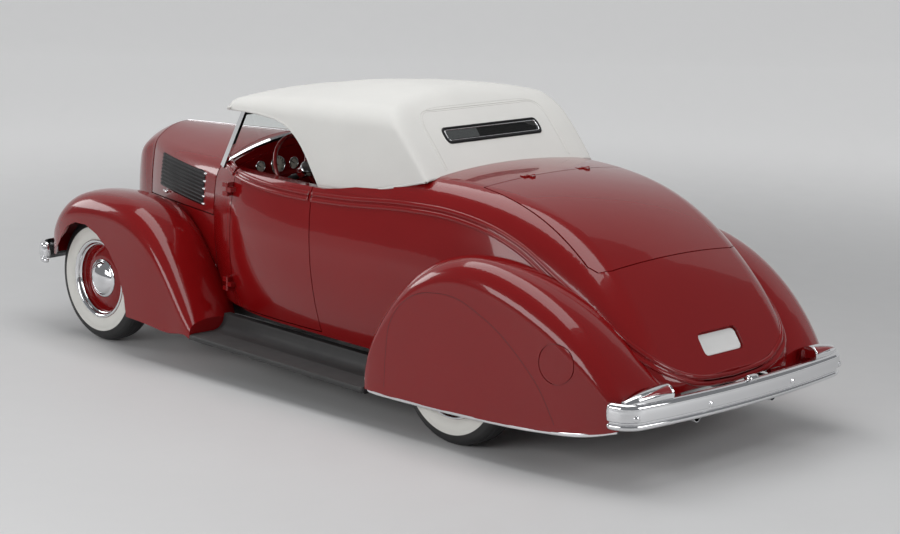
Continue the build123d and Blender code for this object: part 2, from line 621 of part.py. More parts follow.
# Chassis
cross = [
    block(-720, -660, -345, 345, 440, 500),
    block(-40, 40, -345, 345, 505, 545),
    block(900, 980, -345, 345, 287.3, 326),
    block(1640, 1690, -345, 345, 287.3, 326),
    block(2560, 2640, -345, 345, 400, 440),
    block(2810, 2880, -345, 345, 430, 478),
    block(3010, 3070, -345, 345, 410, 470),
]
rails = rail + mirrored(rail)
for c in cross:
    rails = rails + c
keep("frame_rails", rails)
engine = block(2240, 2760, -230, 230, 500, 900) + block(2300, 2700, -120, 120, 440, 500)
gearbox = block(1760, 2240, -110, 110, 340, 540)
keep("engine_block", engine + gearbox)
keep("drive_shaft", rod_x(95, 1759.7, 0, 372, 36))
pipe = rod_x(-1060, 2290, 285, 262, 25) - rod_x(-1100, -940, 285, 262, EXHAUST_BORE_R)
keep("exhaust_pipes", pipe, mirrored(pipe))
keep("fuel_tank", fillet(block(-640, -200, -320, 320, 370, 544.7).edges().filter_by(Axis.Y), 40))

axle_x = WHEELBASE
beam = block(axle_x - 22, axle_x + 22, -540, 540, 262, 318)
end = block(axle_x - 22, axle_x + 22, 520, 590, 262, 388)
for side in (end, mirrored(end)):
    beam = beam + side
for pin_y in (KINGPIN_Y, -KINGPIN_Y):
    beam = beam + rod_z(axle_x, pin_y, 320, 388, 26)
    beam = beam - rod_z(axle_x, pin_y, 200, 500, 11) - rod_z(axle_x, pin_y, 200, 319.9, 42)
keep("front_axle", beam)

knuckle = rod_z(axle_x, KINGPIN_Y, 296, 412, 10.7)
knuckle = knuckle + rod_z(axle_x, KINGPIN_Y, 388.3, 412, 26) + rod_z(axle_x, KINGPIN_Y, 296, 319.7, 26)
knuckle = knuckle + block(axle_x - 26, axle_x + 26, KINGPIN_Y, 646, 388.3, 412)
knuckle = knuckle + block(axle_x - 26, axle_x + 26, KINGPIN_Y, 646, 296, 319.7)
knuckle = knuckle + block(axle_x - 26, axle_x + 26, 624, 646, 296, 412)
knuckle = knuckle + rod_y(axle_x, 640, 736, TYRE_R, SPINDLE_R) + rod_y(axle_x, 645, 651, TYRE_R, 134)
both("knuckle", knuckle)

rear_tube = rod_y(0, -690, 690, TYRE_R, 42) + Pos(0, 0, TYRE_R) * Sphere(128)
for sign in (1, -1):
    rear_tube = rear_tube + rod_y(0, sign * 690, sign * 783, TYRE_R, SPINDLE_R)
    rear_tube = rear_tube + rod_y(0, sign * 692, sign * 698, TYRE_R, 134)
rear_tube = rear_tube - rod_x(0, 3000, 0, 372, 36 + RUN)
keep("rear_axle", rear_tube)


def leaf(x, half, z_end, z_mid, t, w):
    """Arched transverse leaf pack."""
    wire = Wire([
        ThreePointArc((x, -half, z_end), (x, 0, z_mid), (x, half, z_end)),
        Line((x, half, z_end), (x, half, z_end - t)),
        ThreePointArc((x, half, z_end - t), (x, 0, z_mid - t), (x, -half, z_end - t)),
        Line((x, -half, z_end - t), (x, -half, z_end)),
    ])
    return Pos(-w / 2, 0, 0) * extrude(make_face(wire), w, (1, 0, 0))


front_spring = leaf(axle_x, 500, 352, 429.7, 34, 50)
rear_spring = leaf(0, 560, 430, 504.7, 34, 50) - Pos(0, 0, TYRE_R) * Sphere(128 + RUN)
keep("leaf_springs", front_spring, rear_spring)


# Wheels: one profile of radius and offset a from the tyre's middle plane, turned about the axle
def turned(parts):
    edges = []
    for pts in parts:
        pts = [(r, a, 0) for r, a in pts]
        edges.append(Line(*pts) if len(pts) == 2 else ThreePointArc(*pts))
    return revolve(make_face(Wire(edges)), Axis.Y, 360)


def chain(points):
    return [[points[k], points[(k + 1) % len(points)]] for k in range(len(points))]


rim_band = turned(chain([(199, -64), (199, 64), (212, 73), (222, 73), (222, 68), (204.7, 60), (204.7, -60),
                         (222, -68), (222, -73), (212, -73)]))
disc = turned(chain([(SPINDLE_R + RUN, -30), (SPINDLE_R + RUN, 42), (45, 42), (45, 30), (112, 40), (182, 22),
                     (200, 18), (200, 10), (178, 12), (112, 30), (45, 20), (45, -30)]))
drum = turned(chain([(44, -6), (150, -6), (150, -42), (141, -42), (141, -14), (44, -14)]))
cap = turned([[(0, 46), (0, 84)], [(0, 84), (62, 73), (108, 46)], [(108, 46), (108, 39)],
              [(108, 39), (46, 36)], [(46, 36), (46, 46)], [(46, 46), (0, 46)]])
wheel = rim_band + disc + drum + cap
tyre = turned([[(205, -50), (205, 50)], [(205, 50), (278, 82), (334, 66)], [(334, 66), (354, 0), (334, -66)],
               [(334, -66), (278, -82), (205, -50)]])
for where, x, y in (("front", WHEELBASE, FRONT_Y), ("rear", 0.0, REAR_Y)):
    both(where + "_wheel", Pos(x, y, TYRE_R) * wheel)
    both(where + "_tyre", Pos(x, y, TYRE_R) * tyre)

for name, found in PIECES.items():
    box = Compound(found).bounding_box()
    litres = [round(s.volume / 1e6, 2) for s in found]
    corners = [round(v) for v in (*box.min, *box.max)]
    print(name, len(found), litres[:4], corners, all(s.is_valid for s in found))
for name, found in PIECES.items():
    moved = [s.moved(Location((-MIDDLE, 0, 0))) for s in found]
    export_step(moved[0] if len(moved) == 1 else Compound(children=moved), f"parts/{name}.step")
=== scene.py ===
import bmesh
import bpy
import json
import math
import numpy as np
from mathutils import Matrix


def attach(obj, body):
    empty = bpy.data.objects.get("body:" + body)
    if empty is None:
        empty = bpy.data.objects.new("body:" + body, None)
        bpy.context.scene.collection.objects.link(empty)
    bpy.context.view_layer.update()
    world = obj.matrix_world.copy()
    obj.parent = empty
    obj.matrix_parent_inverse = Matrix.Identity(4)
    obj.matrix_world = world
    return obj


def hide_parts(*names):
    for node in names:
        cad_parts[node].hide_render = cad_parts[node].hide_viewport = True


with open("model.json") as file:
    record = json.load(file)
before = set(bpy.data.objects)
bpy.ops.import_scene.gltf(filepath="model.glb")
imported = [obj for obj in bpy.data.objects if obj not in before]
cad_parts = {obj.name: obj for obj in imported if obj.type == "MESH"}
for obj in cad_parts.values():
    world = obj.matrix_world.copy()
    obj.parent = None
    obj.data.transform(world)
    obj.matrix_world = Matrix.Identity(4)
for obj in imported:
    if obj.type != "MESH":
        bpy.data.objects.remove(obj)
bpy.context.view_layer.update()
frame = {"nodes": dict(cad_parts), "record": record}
NODES = frame["nodes"]

# Stations below are in metres from the rear axle: x forward, y left, z up from the ground.
# The frame's own origin lies MIDDLE ahead of the rear axle.
MIDDLE = 1.1425
WHEELBASE = 2.845
AXLE_Z = 0.354
FRONT_Y = 0.694
REAR_Y = 0.741
SIDES = (("left", 1.0), ("right", -1.0))


def to_frame(points):
    """Moves points from rear-axle stations to the frame."""
    return np.asarray(points, float) - np.array([MIDDLE, 0.0, 0.0])


# Meshes from arrays
def grid_quads(rows, cols, loop_rows=False, loop_cols=False):
    """Quads between neighbours of a rows by cols grid; a loop joins the last row or column to the first."""
    i, j = np.meshgrid(np.arange(rows - (not loop_rows)), np.arange(cols - (not loop_cols)), indexing="ij")
    k, m = (i + 1) % rows, (j + 1) % cols
    return np.stack([i * cols + j, k * cols + j, k * cols + m, i * cols + m], -1).reshape(-1, 4)


def joined(shapes):
    """One vertex array and one quad array from several (vertices, quads) shapes."""
    starts = np.cumsum([0] + [len(v) for v, _ in shapes[:-1]])
    quads = [q + s for (_, q), s in zip(shapes, starts)]
    return np.concatenate([v for v, _ in shapes]), np.concatenate(quads)


def piece(name, shape, body, material, smooth=True):
    """Object at the origin from (vertices, quads) in the frame, riding on a body."""
    verts, quads = shape
    mesh = bpy.data.meshes.new(name)
    mesh.vertices.add(len(verts))
    mesh.vertices.foreach_set("co", np.ascontiguousarray(verts, np.float32).ravel())
    mesh.loops.add(quads.size)
    mesh.loops.foreach_set("vertex_index", np.ascontiguousarray(quads, np.int32).ravel())
    mesh.polygons.add(len(quads))
    mesh.polygons.foreach_set("loop_start", np.arange(0, quads.size, 4, dtype=np.int32))
    mesh.update(calc_edges=True)
    loose = bmesh.new()
    loose.from_mesh(mesh)
    bmesh.ops.remove_doubles(loose, verts=loose.verts, dist=2e-6)
    bmesh.ops.dissolve_degenerate(loose, edges=loose.edges, dist=1e-7)
    loose.to_mesh(mesh)
    loose.free()
    mesh.validate()
    if smooth:
        mesh.shade_smooth()
    obj = bpy.data.objects.new(name, mesh)
    bpy.context.scene.collection.objects.link(obj)
    mesh.materials.append(material)
    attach(obj, body)
    return obj


def mirrored(shape):
    """The same shape on the other side of the middle plane, its faces turned to stay outward."""
    verts, quads = shape
    return verts * np.array([1.0, -1.0, 1.0]), quads[:, ::-1]


def paired(shape):
    """A left shape and its mirror image as one."""
    return joined([shape, mirrored(shape)])


def run_length(points):
    """Length along a path up to each of its points."""
    return np.concatenate([[0.0], np.cumsum(np.linalg.norm(np.diff(points, axis=0), axis=1))])


def resampled(rows, length, at):
    """Rows given at lengths along a path, read at other lengths."""
    return np.stack([np.interp(at, length, column) for column in rows.T], -1)


def points_of(x, y, z):
    """Points from three arrays that broadcast together."""
    return np.stack(np.broadcast_arrays(x, y, z), -1)


def smooth_path(points, count):
    """Cubic through a few points, spaced evenly by length: spans blend their ends and slopes."""
    p = np.asarray(points, float)
    t = run_length(p)
    slope = np.gradient(p, t, axis=0)
    fine = np.linspace(0.0, t[-1], 24 * count)
    k = np.clip(np.searchsorted(t, fine, side="right") - 1, 0, len(t) - 2)
    h = (t[k + 1] - t[k])[:, None]
    s = ((fine - t[k]) / h[:, 0])[:, None]
    line = ((1 + 2 * s) * (1 - s) ** 2 * p[k] + s * (1 - s) ** 2 * h * slope[k]
            + s * s * (3 - 2 * s) * p[k + 1] + s * s * (s - 1) * h * slope[k + 1])
    length = run_length(line)
    return resampled(line, length, np.linspace(0.0, length[-1], count))


def unit(v):
    """Vectors divided by their own lengths."""
    return v / np.linalg.norm(v, axis=-1, keepdims=True)


def ring_profile(width, height, count=16):
    """Closed oval of (side, out) offsets."""
    a = np.linspace(0, 2 * math.pi, count, endpoint=False)
    return np.stack([width / 2 * np.cos(a), height / 2 * np.sin(a)], -1)


def carried(path, normals, profile, scale=1.0, loop=False):
    """A closed profile of (side, out) offsets carried along a path, out along the normals.

    The ends of an open path draw in to a point; a loop's last section joins its first.
    """
    normals = np.broadcast_to(normals, path.shape)
    profile = np.asarray(profile) * np.broadcast_to(scale, (len(path),))[:, None, None]
    tangent = unit(np.roll(path, -1, 0) - np.roll(path, 1, 0) if loop else np.gradient(path, axis=0))
    out = unit(normals - np.sum(normals * tangent, -1, keepdims=True) * tangent)
    side = np.cross(out, tangent)
    ring = path[:, None] + profile[:, :, :1] * side[:, None] + profile[:, :, 1:] * out[:, None]
    if not loop:
        first, last = (np.repeat(ring[k].mean(0)[None, None], ring.shape[1], 1) for k in (0, -1))
        ring = np.concatenate([first, ring, last])
    return outward((ring.reshape(-1, 3), grid_quads(len(ring), ring.shape[1], loop, True)))


def softened(rows, reach):
    """Running mean along the rows."""
    width = 2 * reach + 1
    padded = np.pad(rows, ((reach, reach), (0, 0)), "edge")
    return np.stack([np.convolve(column, np.ones(width) / width, "valid") for column in padded.T], -1)


def stitched(path, normals, pitch, thick):
    """Thread along a path that swells and thins once a stitch, so that each stitch stands alone."""
    length = run_length(path)
    even = np.linspace(0.0, length[-1], int(length[-1] / pitch) * 8)
    swell = 0.15 + 0.85 * np.abs(np.sin(math.pi * even / pitch)) ** 0.5
    run, out = (resampled(rows, length, even) for rows in (path, normals))
    return carried(run, out, ring_profile(thick, thick, 6), swell)


def turned(profile, centre, axis, steps):
    """Profile of (radius, offset along axis) turned about an axis through centre."""
    axis = unit(np.asarray(axis, float))
    up = np.array([0.0, 0.0, 1.0]) if abs(axis[2]) < 0.9 else np.array([1.0, 0.0, 0.0])
    u = unit(np.cross(up, axis))
    v = np.cross(axis, u)
    a = np.linspace(0, 2 * math.pi, steps, endpoint=False)
    spoke = np.cos(a)[:, None] * u + np.sin(a)[:, None] * v
    r, off = np.asarray(profile, float).T
    points = np.asarray(centre, float) + r[None, :, None] * spoke[:, None] + off[None, :, None] * axis
    return points.reshape(-1, 3), grid_quads(steps, len(r), loop_rows=True)[:, ::-1]


def outward(shape):
    """A closed shape with its faces turned outward: its volume, summed from pyramids, is positive."""
    verts, quads = shape
    a, b, c, d = (verts[quads[:, k]] for k in range(4))
    volume = np.sum(a * np.cross(b, c)) + np.sum(a * np.cross(c, d))
    return (verts, quads) if volume > 0 else (verts, quads[:, ::-1])


def grid_normals(grid):
    """Unit normals of a grid: the cross product of its differences along rows and along columns."""
    return unit(np.cross(np.gradient(grid, axis=0), np.gradient(grid, axis=1)))


def shell(outer, inner, hole=None):
    """Closed skin of an outer and an inner grid, walled along open edges and round a hole of cells."""
    rows, cols = outer.shape[:2]
    count = rows * cols
    kept = np.ones((rows - 1, cols - 1), bool)
    if hole:
        kept[hole] = False
    face = grid_quads(rows, cols)[kept.ravel()]
    a, b = face.ravel(), np.roll(face, -1, axis=1).ravel()
    edge = ~np.isin(a * count + b, b * count + a)
    wall = np.stack([b[edge], a[edge], a[edge] + count, b[edge] + count], -1)
    quads = np.concatenate([face, face[:, ::-1] + count, wall])
    used, quads = np.unique(quads, return_inverse=True)
    verts = np.concatenate([outer.reshape(-1, 3), inner.reshape(-1, 3)])[used]
    return outward((verts, quads.reshape(-1, 4)))


def dome(radius, height):
    """Profile of a low domed head: height falls with the square of the radius."""
    r = radius * np.sqrt(np.linspace(1.0, 0.0, 9))
    r[-1] = 0.0002
    off = height * (0.25 + 0.75 * (1 - (r / radius) ** 2))
    return np.concatenate([[(radius, -0.002)], np.stack([r, off], -1)])


def triangles_of(names):
    """Corner positions of every triangle of the named nodes."""
    found = []
    for name in names:
        mesh = NODES[name].data
        mesh.calc_loop_triangles()
        co = np.empty(len(mesh.vertices) * 3, np.float32)
        mesh.vertices.foreach_get("co", co)
        index = np.empty(len(mesh.loop_triangles) * 3, np.int32)
        mesh.loop_triangles.foreach_get("vertices", index)
        found.append(co.reshape(-1, 3)[index].reshape(-1, 3, 3))
    return np.concatenate(found).astype(float)


def struck(names, origins, rays):
    """First point and normal where each ray meets the nodes: origin + t ray = corner + u e1 + v e2."""
    tri = triangles_of(names)
    a, e1, e2 = tri[:, 0], tri[:, 1] - tri[:, 0], tri[:, 2] - tri[:, 0]
    normal = np.cross(e1, e2)
    origins = np.asarray(origins, float)
    rays = unit(np.broadcast_to(np.asarray(rays, float), origins.shape))
    p = np.cross(rays[:, None], e2[None])
    det = np.sum(p * e1, -1)
    inv = 1.0 / np.where(np.abs(det) < 1e-12, 1e-12, det)
    s = origins[:, None] - a[None]
    u = np.sum(s * p, -1) * inv
    q = np.cross(s, e1[None])
    v = np.sum(q * rays[:, None], -1) * inv
    t = np.sum(q * e2, -1) * inv
    hit = (u >= -1e-6) & (v >= -1e-6) & (u + v <= 1 + 1e-6) & (t > 0) & (np.abs(det) > 1e-12)
    t = np.where(hit, t, np.inf)
    first = np.argmin(t, 1)
    reach = t[np.arange(len(first)), first]
    good = np.isfinite(reach)
    return (origins + np.where(good, reach, 0.0)[:, None] * rays)[good], unit(normal[first])[good], good


# Materials
def shader(name):
    """New material with its node tree and its surface node."""
    mat = bpy.data.materials.new(name)
    mat.use_nodes = True
    return mat, mat.node_tree, mat.node_tree.nodes["Principled BSDF"]


def set_values(node, values):
    """Socket values by name; underscores stand for spaces."""
    for label, value in values.items():
        node.inputs[label.replace("_", " ")].default_value = value


def node_in(tree, kind, **values):
    """New shader node with its socket values."""
    node = tree.nodes.new("ShaderNode" + kind)
    set_values(node, values)
    return node


def wire(tree, *pairs):
    """Links from (output, input) pairs."""
    for output, given in pairs:
        tree.links.new(output, given)


def math_node(tree, operation, *terms):
    """Output of a new math node fed by one or two outputs."""
    node = node_in(tree, "Math")
    node.operation = operation
    wire(tree, *zip(terms, node.inputs))
    return node.outputs[0]


def colour_mix(tree, factor, first, second):
    """Output of a new node that mixes two colours."""
    node = node_in(tree, "Mix")
    node.data_type = "RGBA"
    wire(tree, (factor, node.inputs["Factor"]), (first, node.inputs["A"]), (second, node.inputs["B"]))
    return node.outputs["Result"]


def object_noise(tree, **linked):
    """Noise node on object coordinates, with some of its sockets linked."""
    coord, noise = node_in(tree, "TexCoord"), node_in(tree, "TexNoise")
    wire(tree, (coord.outputs["Object"], noise.inputs["Vector"]))
    wire(tree, *((socket, noise.inputs[label]) for label, socket in linked.items()))
    return noise


def new_group(name, inputs, outputs):
    """Shader node group with named sockets: inputs by default value, outputs by kind."""
    group = bpy.data.node_groups.new(name, "ShaderNodeTree")
    for label, default in inputs.items():
        kind = "NodeSocketColor" if isinstance(default, tuple) else "NodeSocketFloat"
        group.interface.new_socket(name=label, in_out="INPUT", socket_type=kind).default_value = default
    for label, kind in outputs.items():
        group.interface.new_socket(name=label, in_out="OUTPUT", socket_type="NodeSocket" + kind)
    return group, group.nodes.new("NodeGroupInput").outputs, group.nodes.new("NodeGroupOutput").inputs


def mottle_group():
    """Two tones mixed by soft noise on object coordinates, with the noise also given as a value."""
    group, given, out = new_group(
        "two_tone_mottle",
        {"First Tone": (1, 1, 1, 1), "Second Tone": (0, 0, 0, 1), "Scale": 8.0, "Detail": 4.0},
        {"Tone": "Color", "Value": "Float"})
    noise = object_noise(group, Scale=given["Scale"], Detail=given["Detail"]).outputs["Fac"]
    tone = colour_mix(group, noise, given["First Tone"], given["Second Tone"])
    wire(group, (tone, out["Tone"]), (noise, out["Value"]))
    return group


def span_group():
    """Noise stretched between a low and a high value, for roughness that changes over a surface."""
    group, given, out = new_group("noise_between", {"Scale": 8.0, "Low": 0.2, "High": 0.4},
                                  {"Value": "Float"})
    noise = object_noise(group, Scale=given["Scale"])
    noise.inputs["Detail"].default_value = 5.0
    span = node_in(group, "MapRange", From_Min=0.3, From_Max=0.7)
    wire(group, (noise.outputs["Fac"], span.inputs["Value"]), (given["Low"], span.inputs["To Min"]),
         (given["High"], span.inputs["To Max"]), (span.outputs["Result"], out["Value"]))
    return group


def ring_group():
    """Mask that is 1 between two radii about a wheel's axle line and 0 elsewhere, with soft edges."""
    group, given, out = new_group(
        "ring_about_axle", {"Axle X": 0.0, "Axle Z": 0.0, "Inner": 0.2, "Outer": 0.3, "Edge": 0.001},
        {"Mask": "Float"})
    split = node_in(group, "SeparateXYZ")
    wire(group, (node_in(group, "TexCoord").outputs["Object"], split.inputs[0]))
    dx = math_node(group, "SUBTRACT", split.outputs["X"], given["Axle X"])
    dz = math_node(group, "SUBTRACT", split.outputs["Z"], given["Axle Z"])
    square = math_node(group, "ADD", math_node(group, "MULTIPLY", dx, dx),
                       math_node(group, "MULTIPLY", dz, dz))
    reach = math_node(group, "SQRT", square)

    def step(radius):
        node = node_in(group, "MapRange")
        node.interpolation_type = "SMOOTHSTEP"
        wire(group, (reach, node.inputs["Value"]),
             (math_node(group, "SUBTRACT", radius, given["Edge"]), node.inputs["From Min"]),
             (math_node(group, "ADD", radius, given["Edge"]), node.inputs["From Max"]))
        return node.outputs["Result"]

    wire(group, (math_node(group, "SUBTRACT", step(given["Inner"]), step(given["Outer"])), out["Mask"]))
    return group


def weave_group():
    """Height of a plain weave: two crossed sets of ridges, each shown where its own wave is the higher."""
    group, given, out = new_group("plain_weave", {"Threads": 900.0}, {"Height": "Float"})
    coord = node_in(group, "TexCoord")
    waves = []
    for direction in ("X", "Y"):
        wave = node_in(group, "TexWave", Distortion=0.4)
        wave.bands_direction = direction
        wire(group, (coord.outputs["Object"], wave.inputs["Vector"]),
             (given["Threads"], wave.inputs["Scale"]))
        waves.append(wave.outputs["Fac"])
    wire(group, (math_node(group, "MAXIMUM", *waves), out["Height"]))
    return group


GROUPS = {"mottle": mottle_group(), "span": span_group(), "ring": ring_group(), "weave": weave_group()}
ROUGH_SCALE = 6.0
WHITE_BAND = (0.2225, 0.2965)


def placed(tree, key, **values):
    """A shader group placed in a material with its own values."""
    node = tree.nodes.new("ShaderNodeGroup")
    node.node_tree = GROUPS[key]
    set_values(node, values)
    return node


def mottled(tree, first, second, scale, detail=4.0):
    """Colour output of two mottled tones."""
    tones = {"First_Tone": (*first, 1), "Second_Tone": (*second, 1)}
    return placed(tree, "mottle", **tones, Scale=scale, Detail=detail).outputs["Tone"]


def bumped(tree, bsdf, height, strength, distance):
    """A height output wired to the surface's normal."""
    bump = node_in(tree, "Bump", Strength=strength, Distance=distance)
    wire(tree, (height, bump.inputs["Height"]), (bump.outputs["Normal"], bsdf.inputs["Normal"]))


def fine_bump(tree, bsdf, scale, strength, distance):
    """Bump from fine mottled noise."""
    fine = placed(tree, "mottle", Scale=scale, Detail=3.0)
    bumped(tree, bsdf, fine.outputs["Value"], strength, distance)


def finish(name, first, second, scale, rough, metallic=0.0, coat=0.0, bump=None, gloss=0.5):
    """Two mottled tones, roughness between two values, and a noise bump of (scale, strength, distance)."""
    mat, tree, bsdf = shader(name)
    span = placed(tree, "span", Scale=ROUGH_SCALE, Low=rough[0], High=rough[1])
    wire(tree, (mottled(tree, first, second, scale), bsdf.inputs["Base Color"]),
         (span.outputs["Value"], bsdf.inputs["Roughness"]))
    set_values(bsdf, {"Metallic": metallic, "Specular IOR Level": gloss, "Coat Weight": coat,
                      "Coat Roughness": 0.03})
    if bump:
        fine_bump(tree, bsdf, *bump)
    return mat


def tyre_finish(name, axle_x):
    """Black rubber with a wide white band on the side wall."""
    mat, tree, bsdf = shader(name)
    band = placed(tree, "ring", Axle_X=axle_x, Axle_Z=AXLE_Z, Inner=WHITE_BAND[0], Outer=WHITE_BAND[1],
                  Edge=0.0008)
    black = mottled(tree, (0.010, 0.010, 0.011), (0.022, 0.021, 0.021), 30.0)
    white = mottled(tree, (0.74, 0.73, 0.69), (0.66, 0.65, 0.61), 9.0)
    span = placed(tree, "span", Scale=14.0, Low=0.42, High=0.6)
    wire(tree, (colour_mix(tree, band.outputs["Mask"], black, white), bsdf.inputs["Base Color"]),
         (span.outputs["Value"], bsdf.inputs["Roughness"]))
    fine_bump(tree, bsdf, 420.0, 0.15, 0.0006)
    return mat


def cloth_finish():
    """Off-white woven top cloth with faint soft soiling."""
    mat, tree, bsdf = shader("top_cloth")
    tone = mottled(tree, (0.74, 0.73, 0.70), (0.66, 0.655, 0.63), 3.0, 5.0)
    wire(tree, (tone, bsdf.inputs["Base Color"]))
    set_values(bsdf, {"Roughness": 0.85, "Sheen Weight": 0.15})
    bumped(tree, bsdf, placed(tree, "weave", Threads=260.0).outputs["Height"], 0.25, 0.0006)
    return mat


def glass_finish(name, tint, rough):
    """Tinted glass that lets all light through."""
    mat, _, bsdf = shader(name)
    set_values(bsdf, {"Base Color": (*tint, 1), "Transmission Weight": 1.0, "Roughness": rough,
                      "IOR": 1.45})
    return mat


PAINT = finish("deep_red_paint", (0.215, 0.0040, 0.0048), (0.195, 0.0034, 0.0042), 2.5, (0.16, 0.22),
               coat=0.70, bump=(60.0, 0.004, 0.0006), gloss=0.15)
CHROME = finish("chrome_plate", (0.80, 0.80, 0.81), (0.74, 0.745, 0.76), 4.0, (0.035, 0.075), metallic=1.0)
RUBBER = finish("ribbed_rubber", (0.020, 0.020, 0.021), (0.034, 0.033, 0.032), 20.0, (0.45, 0.62),
                bump=(300.0, 0.2, 0.0006))
HIDE = finish("ivory_hide", (0.60, 0.56, 0.47), (0.52, 0.48, 0.40), 14.0, (0.34, 0.46),
              bump=(420.0, 0.25, 0.0005))
CHASSIS = finish("black_chassis_paint", (0.018, 0.018, 0.019), (0.03, 0.029, 0.028), 10.0, (0.3, 0.5),
                 bump=(90.0, 0.1, 0.0008))
IRON = finish("cast_iron", (0.10, 0.10, 0.105), (0.16, 0.155, 0.15), 24.0, (0.45, 0.65), metallic=0.7,
              bump=(160.0, 0.3, 0.001))
RED_RIM = finish("red_moulded_rim", (0.20, 0.006, 0.006), (0.17, 0.005, 0.005), 8.0, (0.2, 0.3), coat=0.5)
BLACK_TRIM = finish("black_enamel", (0.007, 0.007, 0.008), (0.011, 0.011, 0.012), 12.0, (0.3, 0.42),
                    gloss=0.2)
CREAM = finish("cream_dial", (0.74, 0.71, 0.62), (0.68, 0.65, 0.56), 60.0, (0.3, 0.4))
PLATE = finish("white_enamel_plate", (0.74, 0.74, 0.73), (0.68, 0.68, 0.67), 20.0, (0.28, 0.4), coat=0.4)
RED_LENS = finish("red_lens", (0.26, 0.020, 0.022), (0.21, 0.014, 0.016), 30.0, (0.08, 0.14), coat=0.8)
GLASS = glass_finish("clear_glass", (0.93, 0.96, 0.95), 0.0)
SMOKED_GLASS = glass_finish("smoked_glass", (0.10, 0.105, 0.105), 0.0)
LENS_GLASS = glass_finish("fluted_lens_glass", (0.95, 0.96, 0.96), 0.06)
CLOTH = cloth_finish()
THREAD = finish("top_thread", (0.58, 0.57, 0.54), (0.50, 0.49, 0.46), 300.0, (0.6, 0.75))
TYRES = {"front": tyre_finish("front_whitewall", WHEELBASE - MIDDLE),
         "rear": tyre_finish("rear_whitewall", -MIDDLE)}

SLOT_MATERIAL = {"paint": PAINT, "chrome": CHROME, "rubber": RUBBER, "cloth": CLOTH, "hide": HIDE,
                 "glass": GLASS, "chassis": CHASSIS, "iron": IRON, "plastic": RED_RIM,
                 "tyre": TYRES["front"]}
for part in frame["record"]["subparts"]:
    node = NODES[part["node"]]
    node.data.materials.clear()
    node.data.materials.append(SLOT_MATERIAL[part["material_slot"]])
NODES["headlamp_lenses"].data.materials[0] = LENS_GLASS
NODES["rear_window"].data.materials[0] = SMOKED_GLASS


# Wheels and tyres
TYRE_STEPS = 144
BEAD_R, WALL_HIGH = 0.206, 0.128
TREAD_EDGE, CROWN_R = 0.066, 0.3535
BORE_R = 0.017
DRUM = [(BORE_R, -0.006), (0.150, -0.006), (0.150, -0.042), (0.141, -0.042), (0.141, -0.014),
        (BORE_R, -0.014), (BORE_R, -0.006)]
TREAD_HALF = 0.060
TREAD_RIBS = 5


def tyre_profile():
    """Closed (radius, offset) outline: bead, bulged walls with a raised band edge, ribbed tread."""
    side_a = np.linspace(0.0, 1.0, 26)
    radius = BEAD_R + WALL_HIGH * side_a
    bulge = 0.050 + 0.0325 * np.sin(math.pi * np.clip(side_a, 0, 1) ** 0.85) ** 0.8
    bulge[-1] = TREAD_EDGE
    shoulder = TREAD_EDGE + 0.016 * np.sqrt(np.clip(1 - side_a, 0, 1) / 0.38)
    bulge = np.where(side_a > 0.62, np.maximum(bulge, shoulder), bulge)
    bulge = bulge - 0.0016 * np.exp(-((radius - WHITE_BAND[1]) / 0.0016) ** 2)
    a = np.linspace(TREAD_EDGE, -TREAD_EDGE, 61)
    crown = CROWN_R - 0.0195 * np.abs(a / TREAD_EDGE) ** 4
    groove = 0.5 + 0.5 * np.cos(2 * math.pi * (a / (2 * TREAD_HALF / TREAD_RIBS)))
    crown = crown - 0.007 * (groove > 0.93) * (np.abs(a) < TREAD_HALF - 0.004)
    near = np.stack([radius, bulge], -1)
    tread = np.stack([crown, a], -1)
    far = np.stack([radius[::-1], -bulge[::-1]], -1)
    return np.concatenate([near[:-1], tread, far[1:], near[:1]])


WHEEL_DISC = [(0.222, 0.066), (0.222, 0.0715), (0.2195, 0.0730), (0.213, 0.0722), (0.206, 0.066),
              (0.201, 0.056), (0.199, 0.036), (0.197, 0.022), (0.190, 0.0185), (0.180, 0.0205),
              (0.165, 0.0262), (0.148, 0.0325), (0.132, 0.0372), (0.120, 0.0392), (0.108, 0.0390),
              (0.090, 0.0385)]
TRIM_RING = [(0.2205, 0.0700), (0.2215, 0.0738), (0.2185, 0.0757), (0.2120, 0.0752), (0.2055, 0.0705),
             (0.2010, 0.0620), (0.1985, 0.0500), (0.1955, 0.0492), (0.1940, 0.0475)]
HUB_CAP = [(0.1085, 0.0395), (0.1092, 0.0425), (0.1080, 0.0452), (0.1040, 0.0475), (0.0990, 0.0492),
           (0.0950, 0.0502), (0.0925, 0.0530), (0.0850, 0.0600), (0.0740, 0.0668), (0.0600, 0.0728),
           (0.0440, 0.0778), (0.0260, 0.0812), (0.0100, 0.0826), (0.0002, 0.0828)]
WHEEL_BACK = [(0.222, -0.066), (0.206, -0.062), (0.199, -0.05), (0.199, -0.002), (0.196, 0.008),
              (0.178, 0.012), (0.112, 0.030), (0.045, 0.020), (0.017, 0.020)]


